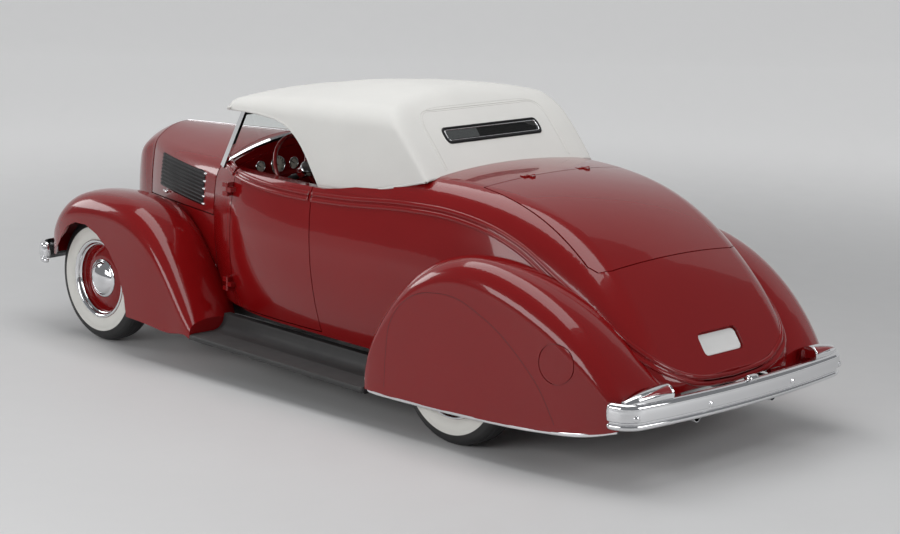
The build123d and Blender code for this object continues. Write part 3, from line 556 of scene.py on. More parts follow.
def wheel_at(where, side, sign, x, y):
    """Turned tyre, painted wheel, trim ring and hub cap about one axle, offsets growing outward."""
    body = f"wheel_{where}_{side}"
    centre = to_frame([x, sign * y, AXLE_Z])
    axis = (0.0, sign, 0.0)
    name = f"{where}_{side}"
    round_tyre = turned(tyre_profile(), centre, axis, TYRE_STEPS)
    tyre = piece(f"{name}_whitewall_tyre", round_tyre, body, TYRES[where])
    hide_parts(f"{where}_tyre_{side}")
    back = np.array(WHEEL_BACK)[::-1]
    outline = np.concatenate([back, back[-1:], WHEEL_DISC, [(BORE_R, 0.0385)], back[:1]])
    wheel = piece(f"{name}_steel_wheel", turned(outline, centre, axis, 96), body, PAINT)
    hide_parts(f"{where}_wheel_{side}")
    bright = joined([turned(TRIM_RING, centre, axis, 96), turned(HUB_CAP, centre, axis, 72)])
    piece(f"{name}_trim_ring_and_cap", bright, body, CHROME)
    piece(f"{name}_brake_drum", turned(DRUM, centre, axis, 64), body, CHASSIS)


for side, sign in SIDES:
    wheel_at("front", side, sign, WHEELBASE, FRONT_Y)
    wheel_at("rear", side, sign, 0.0, REAR_Y)


# Padded top, its edge binding, seam and slot frame
# Columns: station, half width, crown height, crown radius, corner radius
TOP_STATIONS = np.array([
    (1.900, 0.604, 1.490, 4.2, 0.062),
    (1.500, 0.622, 1.548, 3.0, 0.105),
    (1.100, 0.642, 1.584, 2.4, 0.130),
    (0.760, 0.634, 1.596, 2.3, 0.140),
    (0.345, 0.606, 1.582, 2.3, 0.140)])
TOP_SIDE_R, TOP_SIDE_Z, TOP_CENTRE_Z = 1.5, 1.25, 1.0
TOP_REAR = np.array([(0.385, 1.200), (0.566, 1.416), (0.760, 1.610)])
SIDE_EDGE = [(1.143, 0, 1.086), (1.190, 0, 1.164), (1.236, 0, 1.234), (1.300, 0, 1.302), (1.380, 0, 1.354),
             (1.480, 0, 1.386), (1.600, 0, 1.398), (1.750, 0, 1.403), (1.905, 0, 1.402)]
HEM = np.array([(0.381, 1.200), (0.615, 1.143), (0.736, 1.114), (0.870, 1.092), (0.970, 1.082),
                (1.143, 1.082)])
FRONT_LIP = np.array([(1.880, 0.02), (1.890, 0.16), (1.896, 0.36), (1.8985, 0.56), (1.8975, 0.74),
                      (1.892, 0.88), (1.882, 0.96), (1.868, 0.992)])
SLOT_HALF, SEAM_HALF = 0.336, 0.450
SLOT_COLUMNS = 28
SLOT_CORNER = 0.016
# Stations where the seam starts and bends; its corner's reach along the panel and across it
SEAM_FOOT, SEAM_BEND, SEAM_CORNER = 0.41, 0.575, (0.07, 0.08)
STITCH_INSET, STITCH_PITCH, STITCH_THICK = 0.012, 0.008, 0.0022
PANEL_SLOPE = 0.74
SLOT_Z = (1.352, 1.408)
TOP_PAD = 0.014
REAR_ROUND = 0.028


def rear_height(x):
    """Height of the rear panel at station x: the parabola through three points of its side view."""
    return np.polyval(np.polyfit(TOP_REAR[:, 0], TOP_REAR[:, 1], 2), x)


def rear_station(z):
    """Station where the rear panel has height z: its parabola read backwards."""
    x = np.linspace(TOP_REAR[0, 0] - 0.02, TOP_REAR[2, 0], 400)
    return np.interp(z, rear_height(x), x)


def circle_reach(cy, cz, radius, s, c):
    """Distance from the section's centre to a circle along the directions (s, c)."""
    along = cy * s + cz * c
    return along + np.sqrt(np.maximum(along ** 2 - cy ** 2 - cz ** 2 + radius ** 2, 0.0))


def top_reach(x, turn):
    """Section radius by direction: crown, corner and side circles, joined softly with the rear panel."""
    station, *columns = TOP_STATIONS.T
    half, high, crown_r, corner_r = (np.polyval(np.polyfit(station, c, 4), x)[:, None] for c in columns)
    s, c = np.sin(turn)[None], np.cos(turn)[None]
    sy, sz = half - TOP_SIDE_R, TOP_SIDE_Z - TOP_CENTRE_Z
    ty, tz = 0.0 * half, high - crown_r - TOP_CENTRE_Z
    dy, dz = ty - sy, tz - sz
    span = np.hypot(dy, dz)
    near, far = TOP_SIDE_R - corner_r, crown_r - corner_r
    a = (near ** 2 - far ** 2 + span ** 2) / (2 * span)
    h = np.sqrt(near ** 2 - a ** 2)
    ky, kz = sy + (a * dy - h * dz) / span, sz + (a * dz + h * dy) / span
    from_crown = crown_r / np.hypot(ky - ty, kz - tz)
    from_side = TOP_SIDE_R / np.hypot(ky - sy, kz - sz)
    first = np.arctan2(ty + (ky - ty) * from_crown, tz + (kz - tz) * from_crown)
    second = np.arctan2(sy + (ky - sy) * from_side, sz + (kz - sz) * from_side)
    reach = np.where(turn < first, circle_reach(ty, tz, crown_r, s, c), np.where(
        turn < second, circle_reach(ky, kz, corner_r, s, c), circle_reach(sy, sz, TOP_SIDE_R, s, c)))
    bows = 0.5 - 0.5 * np.cos(2 * math.pi * (x[:, None] - 0.76) / 0.37)
    reach = reach - 0.003 * bows * np.exp(-(turn[None] / 0.45) ** 2) * (x[:, None] > 0.76)
    panel = (rear_height(x)[:, None] - TOP_CENTRE_Z) / np.maximum(c, 0.03)
    low = np.minimum(reach, panel)
    return low - REAR_ROUND * np.log1p(np.exp(-np.abs(reach - panel) / REAR_ROUND))


def low_edge(x):
    """Height of the cloth's lower edge: the side opening's curve ahead, the hem on the body behind."""
    edge = smooth_path(SIDE_EDGE, 160)
    opening = np.interp(x, edge[:, 0], edge[:, 2])
    hem = np.minimum(np.interp(x, HEM[:, 0], HEM[:, 1]), rear_height(x) - 0.012)
    return np.where(x > SIDE_EDGE[0][0], opening, hem)


FLAT_ARC = np.concatenate([np.linspace(0, SLOT_HALF, SLOT_COLUMNS + 1),
                           np.linspace(SLOT_HALF, SEAM_HALF, 11)[1:]])
SIDE_SHARE = np.linspace(0, 1, 41)[1:]
SLOT_X = rear_station(np.array(SLOT_Z))
TOP_X = np.concatenate([FRONT_LIP[:, 0], np.linspace(1.855, 1.32, 36), np.linspace(1.31, 1.13, 24),
                        np.linspace(1.115, 0.80, 22), np.linspace(0.79, SLOT_X[1], 28),
                        np.linspace(SLOT_X[1], SLOT_X[0], 9)[1:], np.linspace(SLOT_X[0], 0.388, 22)[1:]])
TOP_HEIGHT = np.concatenate([FRONT_LIP[:, 1], np.ones(len(TOP_X) - len(FRONT_LIP))])


def top_grid():
    """Outer cloth by station and arc: fixed lengths from the middle to the seam, then shares."""
    turn = np.linspace(0.0, 1.62, 900)
    reach = top_reach(np.minimum(TOP_X, 1.9), turn)
    y, z = reach * np.sin(turn), TOP_CENTRE_Z + reach * np.cos(turn)
    steps = np.hypot(np.diff(y), np.diff(z))
    arc = np.concatenate([np.zeros((len(TOP_X), 1)), np.cumsum(steps, axis=1)], 1)
    low = low_edge(TOP_X)
    rows = []
    for k, x in enumerate(TOP_X):
        end = np.interp(-low[k], -z[k], arc[k])
        at = np.concatenate([FLAT_ARC, SEAM_HALF + (end - SEAM_HALF) * SIDE_SHARE])
        height = low[k] + (np.interp(at, arc[k], z[k]) - low[k]) * TOP_HEIGHT[k]
        rows.append(np.stack([np.full(len(at), x), np.interp(at, arc[k], y[k]), height], -1))
    half = np.array(rows)
    return to_frame(np.concatenate([half[:, :0:-1] * np.array([1.0, -1.0, 1.0]), half], 1))


TOP_MIDDLE = len(FLAT_ARC) + len(SIDE_SHARE) - 1
TOP_OUTER = top_grid()
TOP_NORMAL = grid_normals(TOP_OUTER)
TOP_NORMAL = TOP_NORMAL * np.sign(TOP_NORMAL[60, TOP_MIDDLE, 2])
TOP_INNER = TOP_OUTER - TOP_PAD * TOP_NORMAL


def on_top(x, arc):
    """Point and normal of the rear cloth at station x and signed arc, blended between grid points."""
    first = len(FRONT_LIP)
    i = np.interp(-np.asarray(x), -TOP_X[first:], np.arange(first, len(TOP_X)))
    signed = np.concatenate([-FLAT_ARC[:0:-1], FLAT_ARC])
    j = np.interp(arc, signed, TOP_MIDDLE + np.arange(1 - len(FLAT_ARC), len(FLAT_ARC)))
    i0, j0 = np.minimum(i.astype(int), len(TOP_X) - 2), np.minimum(j.astype(int), TOP_OUTER.shape[1] - 2)
    p, q = (i - i0)[:, None], (j - j0)[:, None]

    def mixed(grid):
        return ((1 - p) * (1 - q) * grid[i0, j0] + p * (1 - q) * grid[i0 + 1, j0]
                + (1 - p) * q * grid[i0, j0 + 1] + p * q * grid[i0 + 1, j0 + 1])

    return mixed(TOP_OUTER), unit(mixed(TOP_NORMAL))


def rounded_box(half_u, half_v, corner, count):
    """Closed outline of a rectangle with round corners, by angle round each corner, as (u, v)."""
    a = np.linspace(0, math.pi / 2, count)
    turns = np.concatenate([a + k * math.pi / 2 for k in range(4)])
    su = np.repeat([1, -1, -1, 1], count)
    sv = np.repeat([1, 1, -1, -1], count)
    return np.stack([su * (half_u - corner) + corner * np.cos(turns),
                     sv * (half_v - corner) + corner * np.sin(turns)], -1)


def padded_top():
    """Cloth with the slot's hole in it, and a round binding along each lower edge."""
    rows = np.flatnonzero((TOP_X <= SLOT_X[1] + 1e-9) & (TOP_X >= SLOT_X[0] - 1e-9))
    hole = (slice(rows[0], rows[-1]), slice(TOP_MIDDLE - SLOT_COLUMNS, TOP_MIDDLE + SLOT_COLUMNS))
    cloth = piece("padded_top_cloth", shell(TOP_OUTER, TOP_INNER, hole), "car", CLOTH)
    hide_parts("padded_top")
    edges = []
    for j, sign in ((0, -1.0), (-1, 1.0)):
        path = smooth_path(((TOP_OUTER[:, j] + TOP_INNER[:, j]) / 2)[::3], 220)
        edges.append(carried(path, [0.0, sign, 0.2], ring_profile(0.017, 0.017)))
    piece("top_edge_binding", joined(edges), "car", CLOTH)


def seam_route():
    """Station and arc of the rear panel's seam: up one side, round a corner, across, and down the other."""
    t = np.linspace(0, 1, 61)
    a = np.linspace(0, math.pi / 2, 14)[1:]
    along, across = SEAM_CORNER
    side = np.stack([SEAM_FOOT + (SEAM_BEND - SEAM_FOOT) * t, np.full(61, SEAM_HALF)], -1)
    bend = np.stack([SEAM_BEND + along * np.sin(a), SEAM_HALF - across * (1 - np.cos(a))], -1)
    over = np.stack([np.full(61, SEAM_BEND + along), (SEAM_HALF - across) * (1 - 2 * t)], -1)
    leg = np.concatenate([side, bend])
    return np.concatenate([leg, over[1:-1], (leg * (1.0, -1.0))[::-1]])


def rear_seam():
    """Welt along the seam, with a row of stitches on each side of it."""
    route = seam_route()
    path = smooth_path(on_top(*route.T)[0][::2], 240)
    welt = carried(path, [-0.72, 0.0, 0.69], ring_profile(0.006, 0.0044, 10))
    piece("rear_panel_seam", welt, "car", CLOTH)
    on_leg = np.abs(route[:, 1]) > SEAM_HALF - SEAM_CORNER[1] - 0.001
    threads = []
    for inset in (STITCH_INSET, -STITCH_INSET):
        path, normals = on_top(route[:, 0] - np.where(on_leg, 0.0, inset * PANEL_SLOPE),
                               route[:, 1] - np.sign(route[:, 1]) * np.where(on_leg, inset, 0.0))
        threads.append(stitched(softened(path, 5), unit(softened(normals, 5)), STITCH_PITCH, STITCH_THICK))
    piece("rear_panel_stitches", joined(threads), "car", THREAD)


def slot_frame():
    """Dark gasket and bright frame carried round the slot's outline on the cloth."""
    mid_x, half_x = SLOT_X.mean(), (SLOT_X[1] - SLOT_X[0]) / 2
    for name, grow, profile, slot, material in (
            ("slot_gasket", 0.004, ring_profile(0.015, 0.014), "rubber", BLACK_TRIM),
            ("slot_bright_frame", -0.006, ring_profile(0.005, 0.010, 10), "chrome", CHROME)):
        outline = rounded_box(SLOT_HALF + grow, half_x + grow * PANEL_SLOPE, SLOT_CORNER + grow, 9)
        closed = np.concatenate([outline, outline[:1]])
        length = run_length(closed)
        u, v = resampled(closed, length, np.linspace(0, length[-1], 180, endpoint=False)).T
        path, normals = on_top(mid_x + v, u)
        piece(name, carried(path, normals, profile, loop=True), "car", material)


padded_top()
rear_seam()
slot_frame()


# Seat: pleated cushion and back
def pleated_pad(centre, across, along, out, halves, rise, fall, pleat):
    """Closed pad: two sheets on u, v in -1..1 that meet at the rim, with rolled pleats.

    Height is ((1-u^8)(1-v^8))^(1/4) under a low crown, and the sides are drawn in a little.
    """
    u, v = (np.sign(t) * (1 - (1 - np.abs(t)) ** 1.8) for t in (np.linspace(-1, 1, n) for n in (129, 61)))
    u, v = np.meshgrid(u, v, indexing="ij")
    height = ((1 - u ** 8) * (1 - v ** 8)).clip(0) ** 0.25
    wide = halves[0] * u * (1 - 0.012 * (1 - v ** 2))
    deep = halves[1] * v * (1 - 0.020 * (1 - u ** 2))
    rolls = np.abs(np.cos(math.pi * halves[0] * u / pleat)) ** 0.55
    crown = 1.0 - 0.10 * u ** 2 - 0.08 * v ** 2
    inside = np.clip((1 - np.abs(u)) * 9, 0, 1) * np.clip((1 - np.abs(v)) * 7, 0, 1)
    top = rise * height * crown - 0.013 * (1 - rolls) * inside
    flat = -fall * np.minimum(1.0, 1.15 * height)
    base = np.asarray(centre)[None, None] + wide[..., None] * across + deep[..., None] * along
    return shell(base + top[..., None] * out, base + flat[..., None] * out)


Y_AXIS = np.array([0.0, 1.0, 0.0])
LEAN = unit(np.array([-0.110, 0.0, 0.420]))
PLEAT = 0.065
# Columns: piece, node it stands for, middle, direction along, direction out, half sizes, rise, fall
SEAT_PADS = (
    ("pleated_seat_cushion", "seat_cushion", (1.025, 0, 0.532), np.array([1.0, 0, 0]),
     np.array([0, 0, 1.0]), (0.52, 0.265), 0.108, 0.061),
    ("pleated_seat_back", "seat_back", (0.779, 0, 0.852), LEAN, np.array([LEAN[2], 0, -LEAN[0]]),
     (0.52, 0.212), 0.064, 0.060))
for name, stands_for, middle, *sizes in SEAT_PADS:
    pad = piece(name, pleated_pad(to_frame(middle), Y_AXIS, *sizes, PLEAT), "car", HIDE)
    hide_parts(stands_for)


# Trim that follows the panels
def surface_path(names, points, count, towards, reach=0.4):
    """Smooth path through points, set onto nodes by rays from outside towards an inner point."""
    path = smooth_path(points, count)
    away = unit(path - towards(path))
    return struck(names, to_frame(path + reach * away), -away)[:2]


# Half width of the moulding, each bead's middle, half width and height
BELT_HALF, BELT_BEAD_AT, BELT_BEAD_R, BELT_LIFT = 0.027, 0.0150, 0.0118, 0.0078


def double_bead():
    """Closed section of a belt moulding: two round beads with a groove between, sunk at the foot."""
    side = np.linspace(-BELT_HALF, BELT_HALF, 41)
    out = BELT_LIFT * np.sqrt(np.clip(1 - ((np.abs(side) - BELT_BEAD_AT) / BELT_BEAD_R) ** 2, 0, 1))
    out[[0, -1]] = -0.003
    return np.concatenate([np.stack([side, out], -1), [(0.025, -0.006), (-0.025, -0.006)]])[::-1]


def side_axis(path):
    """Inner points that the side's rays run towards: level, then drawn together under the deck."""
    back = np.clip((-path[:, 0] - 0.10) / 0.60, 0, 1)
    return np.stack([np.maximum(path[:, 0], -0.62), 0.0 * back, path[:, 2] * (1 - back) + 0.47 * back], -1)


BELT = [(2.078, 0.560, 1.098), (1.960, 0.610, 1.083), (1.830, 0.660, 1.063), (1.518, 0.690, 1.036),
        (1.166, 0.700, 1.031), (0.904, 0.700, 1.040), (0.474, 0.690, 1.068), (0.200, 0.675, 1.066),
        (-0.027, 0.660, 1.034), (-0.260, 0.635, 0.962), (-0.467, 0.590, 0.834), (-0.696, 0.555, 0.693),
        (-0.828, 0.505, 0.592), (-0.950, 0.430, 0.505), (-1.005, 0.220, 0.424), (-1.018, 0.000, 0.404)]
BELT_SPLITS = (("cowl", 1.853, 2.2, "car"), ("door", 1.172, 1.829, None))
BELT_REAR = 1.156


def belt_moulding():
    """Double bead along the belt line, parted where the doors open."""
    whole = {}
    for side, sign in SIDES:
        path, normals = surface_path(["cowl", f"door_{side}", "rear_body"], np.array(BELT) * (1, sign, 1),
                                     420, side_axis)
        whole[side] = softened(path, 3), unit(softened(normals, 6)), path[:, 0] + MIDDLE
        for part, low, high, body in BELT_SPLITS:
            use = (whole[side][2] > low) & (whole[side][2] < high)
            bead = carried(whole[side][0][use], whole[side][1][use], double_bead())
            piece(f"belt_moulding_{part}_{side}", bead, body or f"{side}_door", PAINT)
    ends = [(p[x < BELT_REAR], n[x < BELT_REAR]) for p, n, x in (whole["left"], whole["right"])]
    path = np.concatenate([ends[0][0], ends[1][0][-2::-1]])
    normals = np.concatenate([ends[0][1], ends[1][1][-2::-1]])
    piece("belt_moulding_rear", carried(path, normals, double_bead()), "car", PAINT)


belt_moulding()

BOARD_ENDS = ((1.880, 0.188), (0.536, 0.158))
RIB_PITCH = 0.0105


def board_mats():
    """Rubber mat on each running board: the board's section lifted by fine ribs that follow its length."""
    rise = np.array([(0.642, 0.1125), (0.649, 0.084), (0.664, 0.0525), (0.690, 0.0365), (0.724, 0.0285)])
    flat = np.stack([np.linspace(0.727, 0.866, 160), np.full(160, 0.0283)], -1)
    a = np.linspace(0, math.pi / 2, 12)[1:]
    lip = np.stack([0.868 + 0.0122 * np.sin(a), 0.016 + 0.0123 * np.cos(a)], -1)
    foot = np.array([(0.8802, 0.010), (0.8790, 0.004)])
    section = np.concatenate([smooth_path(np.pad(rise, ((0, 0), (1, 0))), 24)[:, 1:], flat, lip, foot])
    y = section[:, 0]
    wave = 0.5 + 0.5 * np.cos(2 * math.pi * (y - 0.736) / RIB_PITCH)
    rib = 0.0016 * np.clip(wave * 2.2 - 0.7, 0, 1) * ((y > 0.733) & (y < 0.8625))
    tangent = np.gradient(section, axis=0)
    normal = unit(np.stack([-tangent[:, 1], tangent[:, 0]], -1))
    x, z = np.linspace(*BOARD_ENDS, 40).T

    def laid(offset):
        line = section + normal * np.asarray(offset)[:, None]
        return to_frame(points_of(x[:, None], line[:, 0], z[:, None] + line[:, 1]))

    mat = shell(laid(0.0022 + rib), laid(np.full(len(y), 0.0004)))
    piece("running_board_mats", paired(mat), "car", RUBBER)


board_mats()

HEM_SUNK, HEM_DROP = 0.0039, 0.0125
# Columns: station, outer side, low edge
FENDER_HEM = [(0.538, 0.864, 0.262), (0.532, 0.869, 0.222), (0.505, 0.877, 0.1985), (0.470, 0.882, 0.1965),
              (0.330, 0.888, 0.197), (0.060, 0.890, 0.201), (-0.260, 0.888, 0.209), (-0.600, 0.868, 0.223),
              (-0.880, 0.820, 0.251), (-0.998, 0.776, 0.281)]


def hem_strips():
    """Bright half-round strip along the low edge of each rear fender, out along the plan normal."""
    path = to_frame(smooth_path(FENDER_HEM, 200))
    tangent = np.gradient(path, axis=0)
    out = np.cross(tangent, [0.0, 0.0, 1.0])
    out = unit(out * np.sign(out[:, 1:2]))
    strip = carried(path - HEM_SUNK * out - (0, 0, HEM_DROP), out, ring_profile(0.020, 0.0076))
    piece("fender_hem_strips", paired(strip), "car", CHROME)


hem_strips()

SEAM_SUNK = 0.0006
# Skirt outline in side view: station, height
SKIRT = [(0.378, 0.222), (0.368, 0.400), (0.345, 0.540), (0.280, 0.640), (0.170, 0.715), (0.040, 0.744),
         (-0.110, 0.740), (-0.240, 0.694), (-0.380, 0.620), (-0.495, 0.528), (-0.600, 0.420),
         (-0.680, 0.290), (-0.700, 0.250)]


def skirt_seams():
    """Dark joint line round each fender skirt: the outline set onto the fender's side by level rays."""
    flat = smooth_path([(x, 1.2, z) for x, z in SKIRT], 240)
    spots, normals, _ = struck(["rear_fender_left", "fender_skirts"], to_frame(flat), (0, -1, 0))
    lift = unit(softened(normals, 3))
    seam = carried(softened(spots, 2) - SEAM_SUNK * lift, lift, ring_profile(0.0036, 0.0016, 8))
    piece("skirt_seams", paired(seam), "car", BLACK_TRIM)


skirt_seams()

# Columns: station, height where the cloth covers the rail
RAIL_TOP = np.array([(0.590, 1.175), (0.660, 1.160), (0.736, 1.142), (0.870, 1.112), (0.970, 1.094),
                     (1.080, 1.080)])
RAIL_FOOT, RAIL_BEND_Z, RAIL_THICK = 1.066, 1.062, 0.014
RAIL_HALF, RAIL_SIDE_Z, RAIL_SIDE_R, RAIL_CORNER_R = 0.7045, 0.70, 1.4, 0.158


def cabin_rails():
    """Painted rail from the body's side up to the cloth: the side's circle, then a corner leaning in."""
    x = np.linspace(0.590, 1.080, 40)[:, None]
    top = np.interp(x, RAIL_TOP[:, 0], RAIL_TOP[:, 1])
    z = RAIL_FOOT + (top - RAIL_FOOT) * np.linspace(0, 1, 16)[None]

    def side_at(height):
        return RAIL_HALF - RAIL_SIDE_R + np.sqrt(RAIL_SIDE_R ** 2 - (height - RAIL_SIDE_Z) ** 2)

    above = np.maximum(z - RAIL_BEND_Z, 0)
    lean_in = 0.27 * above + RAIL_CORNER_R - np.sqrt(np.maximum(RAIL_CORNER_R ** 2 - above ** 2, 0))
    leaning = np.minimum(side_at(z), side_at(RAIL_BEND_Z) - lean_in)
    y = np.where(z > RAIL_BEND_Z, leaning, side_at(z)) - 0.0015
    outer = to_frame(points_of(x, y, z))
    rail = shell(outer, outer - np.array([0.0, RAIL_THICK, 0.0]))
    piece("cabin_rails", paired(rail), "car", PAINT)


cabin_rails()

# Columns: radius about the rear axle, side
HOUSE_SKIN = np.array([(0.110, 0.6400), (0.250, 0.6400), (0.384, 0.6400), (0.396, 0.6430), (0.400, 0.6530),
                       (0.400, 0.720)])
HOUSE_LINING = np.array([(0.110, 0.6425), (0.250, 0.6425), (0.382, 0.6425), (0.394, 0.6455),
                         (0.3975, 0.6540), (0.3975, 0.720)])


def wheel_houses():
    """Inner house over each rear wheel: a flat wall with a rolled rim, turned half round the axle."""
    a = np.radians(np.linspace(-4, 184, 73))[:, None]

    def skin(outline):
        r, y = outline.T
        return to_frame(points_of(r * np.cos(a), y, AXLE_Z + r * np.sin(a)))

    house = shell(skin(HOUSE_SKIN), skin(HOUSE_LINING))
    piece("rear_wheel_houses", paired(house), "car", PAINT)


wheel_houses()

BOLT_RADIUS = 0.0155
# Columns: bumper, station the rays start at, their direction, height, inner and outer side, head height
BOLTS = (("rear", -1.6, 1, 0.346, (0.31, 0.765), 0.0095), ("front", 3.9, -1, 0.442, (0.31, 0.70), 0.0065))


def bumper_bolts():
    """Domed heads where level rays meet each bumper."""
    for end, start, ray, z, (near, far), height in BOLTS:
        places = to_frame([(start, y, z) for y in (-far, -near, near, far)])
        spots, normals, _ = struck([f"{end}_bumper"], places, (ray, 0, 0))
        heads = [turned(dome(BOLT_RADIUS, height), p, n, 20) for p, n in zip(spots, normals)]
        piece(f"{end}_bumper_bolts", joined(heads), "car", CHROME)


bumper_bolts()

# Columns: y, rear edge, front edge, height
LAMP_CASE = np.array([(0.536, -1.121, -1.036, 0.058), (0.620, -1.112, -1.034, 0.054),
                      (0.710, -1.099, -1.036, 0.040), (0.790, -1.062, -1.030, 0.012)])
LAMP_SEAT_Z = 0.408


def tail_lenses():
    """Red lens on each tail lamp's rear face: the case's arc between two shares of its length."""
    y = np.linspace(0.548, 0.735, 40)
    x0, x1, h = (np.polyval(np.polyfit(LAMP_CASE[:, 0], LAMP_CASE[:, k], 3), y)[:, None] for k in (1, 2, 3))
    half = (x1 - x0) / 2
    radius = (half ** 2 + h ** 2) / (2 * h)
    cx, cz = (x0 + x1) / 2, LAMP_SEAT_Z + h - radius
    sweep = np.arcsin(np.clip(half / radius, -1, 1))
    sweep = np.where(h > half, math.pi - sweep, sweep)
    share = np.linspace(0, 1, 15)[None]
    along = (y[:, None] - y[0]) / (y[-1] - y[0])
    low, high = 0.13 + 0.10 * along, 0.40 - 0.14 * along
    turn = sweep * (2 * (low + (high - low) * share) - 1)
    fade = np.sqrt(np.clip((1 - along) * 12, 0, 1) * np.clip(along * 12, 0, 1))
    swell = 0.0028 * np.sqrt(np.clip(4 * share * (1 - share), 0, 1)) * fade

    def skin(lift):
        r = radius + lift
        return to_frame(points_of(cx + r * np.sin(turn), y[:, None], cz + r * np.cos(turn)))

    lens = shell(skin(0.0012 + swell), skin(-0.0015))
    piece("tail_lamp_lenses", paired(lens), "car", RED_LENS)
    grid = skin(0.0010)
    normal = grid_normals(grid)
    normal = normal * np.sign(-normal[20, 7, 0])

    def edge_of(rows):
        return np.concatenate([rows[:, 0], rows[-1, 1:], rows[-2::-1, -1], rows[0, -2:0:-1]])

    rim = carried(edge_of(grid), edge_of(normal), ring_profile(0.0045, 0.0060, 8), loop=True)
    piece("tail_lamp_rims", paired(rim), "car", CHROME)


tail_lenses()

CENTRE_LAMP = (-1.143, 0.0, LAMP_SEAT_Z)
CENTRE_LAMP_R, CENTRE_LAMP_HALF = 0.0215, 0.037


def centre_lamp():
    """Domed lamp on the bumper: a half drum with round ends, by angle over it and share along it."""
    t = np.linspace(-1, 1, 41)[:, None]
    a = np.linspace(0.0, math.pi, 25)[None]
    r = CENTRE_LAMP_R * (1 - np.abs(t) ** 5) ** 0.4 + 0.0001
    x, _, z = CENTRE_LAMP
    drum = points_of(x - r * np.cos(a), CENTRE_LAMP_HALF * t, z + 0.0004 + 1.05 * r * np.sin(a))
    base = drum.copy()
    base[..., 2] = z + 0.0003
    piece("centre_lamp_cover", shell(to_frame(drum), to_frame(base)), "car", CHROME)


centre_lamp()

PLATE_AT = (-0.958, 0.0, 0.556)
PLATE_LEAN = math.radians(35.0)
PLATE_DEPTH = 0.016
PLATE_HALF = np.array([0.140, 0.053])


def blank_plate():
    """Blank plate in its window: rings of one rounded outline drawn in, with a raised border."""
    into = np.array([math.cos(PLATE_LEAN), 0.0, -math.sin(PLATE_LEAN)])
    up = np.array([math.sin(PLATE_LEAN), 0.0, math.cos(PLATE_LEAN)])
    outline = rounded_box(*PLATE_HALF, 0.026, 10)
    # Columns: inset from the edge, height above the window's floor
    steps = np.array([(0.0, 0.0004), (0.0, 0.0030), (0.0012, 0.0040), (0.0045, 0.0040), (0.0065, 0.0028),
                      (0.0300, 0.0028), (0.0530, 0.0028)])
    rings = []
    for inset, height in steps:
        flat = outline * (PLATE_HALF - inset) / PLATE_HALF
        rings.append(flat[:, :1] * Y_AXIS + flat[:, 1:] * up - (height - PLATE_DEPTH) * into)
    grid = to_frame(np.array(rings) + np.array(PLATE_AT))
    quads = grid_quads(*grid.shape[:2], loop_cols=True)
    normal = np.cross(grid[6, 2] - grid[5, 2], grid[6, 3] - grid[5, 2])
    if np.sum(normal * into) > 0:
        quads = quads[:, ::-1]
    piece("blank_plate", (grid.reshape(-1, 3), quads), "car", PLATE)


blank_plate()

VENT_FROM, VENT_TO = 2.214, 2.806
VENT_LOW, VENT_PITCH, VENT_BARS, VENT_SLOPE = 0.838, 0.0205, 9, 0.045
VENT_TIP = [(0.0055, -0.010), (0.0072, -0.004), (0.0080, 0.004), (0.0068, 0.010), (0.0040, 0.0135),
            (0.0002, 0.0148)]


def hood_vents():
    """Rolled bars on each hood side with bright tips on every other bar's rear end, over a black sheet that
    is painted shade in the openings between the bars.
    """
    for side, sign in SIDES:
        x = np.linspace(VENT_FROM, VENT_TO, 60)

        def on_hood(low):
            """Line on the hood's side: rays from outside, then a quadratic through what they meet."""
            z = low + VENT_SLOPE * (x - VENT_FROM)
            start = to_frame(points_of(x, 0.9 * sign, z))
            spots, normals, good = struck([f"hood_{side}"], start, (0, -sign, 0))
            reach = np.abs(spots[:, 1])
            edge = np.polyfit(x[good], reach, 2)
            solid = reach > np.polyval(edge, x[good]) - 0.004
            edge = np.polyfit(x[good][solid], reach[solid], 2)
            run = to_frame(points_of(x, sign * np.polyval(edge, x), z))
            return run, unit(np.median(normals[solid], 0))

        heights = VENT_LOW + VENT_PITCH * np.arange(VENT_BARS)
        bars, tips = [], []
        for k, low in enumerate(heights):
            run, out = on_hood(low)
            bars.append(carried(run, out, ring_profile(0.0125, 0.0130, 14)))
            if k % 2 == 0:
                tips.append(turned(VENT_TIP, run[0] + 0.003 * out, unit(run[0] - run[1]), 16))
        piece(f"hood_vent_bars_{side}", joined(bars), f"{side}_hood", BLACK_TRIM)
        piece(f"hood_vent_tips_{side}", joined(tips), f"{side}_hood", CHROME)
        # Black sheet just proud of the hood under the bars: painted shade standing in for the dark openings
        # of the vent.
        rows = [on_hood(low) for low in np.linspace(heights[0] - 0.010, heights[-1] + 0.010, 12)]
        skin = np.array([run + 0.0016 * out for run, out in rows])
        back = np.array([run - 0.0020 * out for run, out in rows])
        piece(f"hood_vent_painted_shade_{side}", shell(skin, back), f"{side}_hood", BLACK_TRIM)


hood_vents()

# Station, height
LATCH_AT = (2.700, 0.834)
LATCH_HALF = 0.030
LATCH_BASE = [(0.0135, -0.003), (0.0135, 0.002), (0.0115, 0.0045), (0.0070, 0.0060), (0.0060, 0.0130),
              (0.0002, 0.0135)]


def hood_latches():
    """Bright handle low on each hood side: a turned foot under a bar that swells at its middle."""
    for side, sign in SIDES:
        start = to_frame([(LATCH_AT[0], 0.9 * sign, LATCH_AT[1])])
        (spot,), (normal,), _ = struck([f"hood_{side}"], start, (0, -sign, 0))
        along = unit(np.cross(normal, np.cross([1.0, 0.0, 0.12], normal)))
        t = np.linspace(-1, 1, 25)
        bar = spot + 0.0135 * normal + LATCH_HALF * t[:, None] * along
        swell = 0.25 + 0.75 * np.sqrt(np.clip(1 - t ** 2, 0, 1))
        handle = carried(bar, normal, ring_profile(0.015, 0.011, 14), swell)
        foot = turned(LATCH_BASE, spot, normal, 24)
        piece(f"hood_latch_{side}", joined([handle, foot]), f"{side}_hood", CHROME)


hood_latches()

# Dials, mirror, hub and lamp rims
DASH_X = 1.925
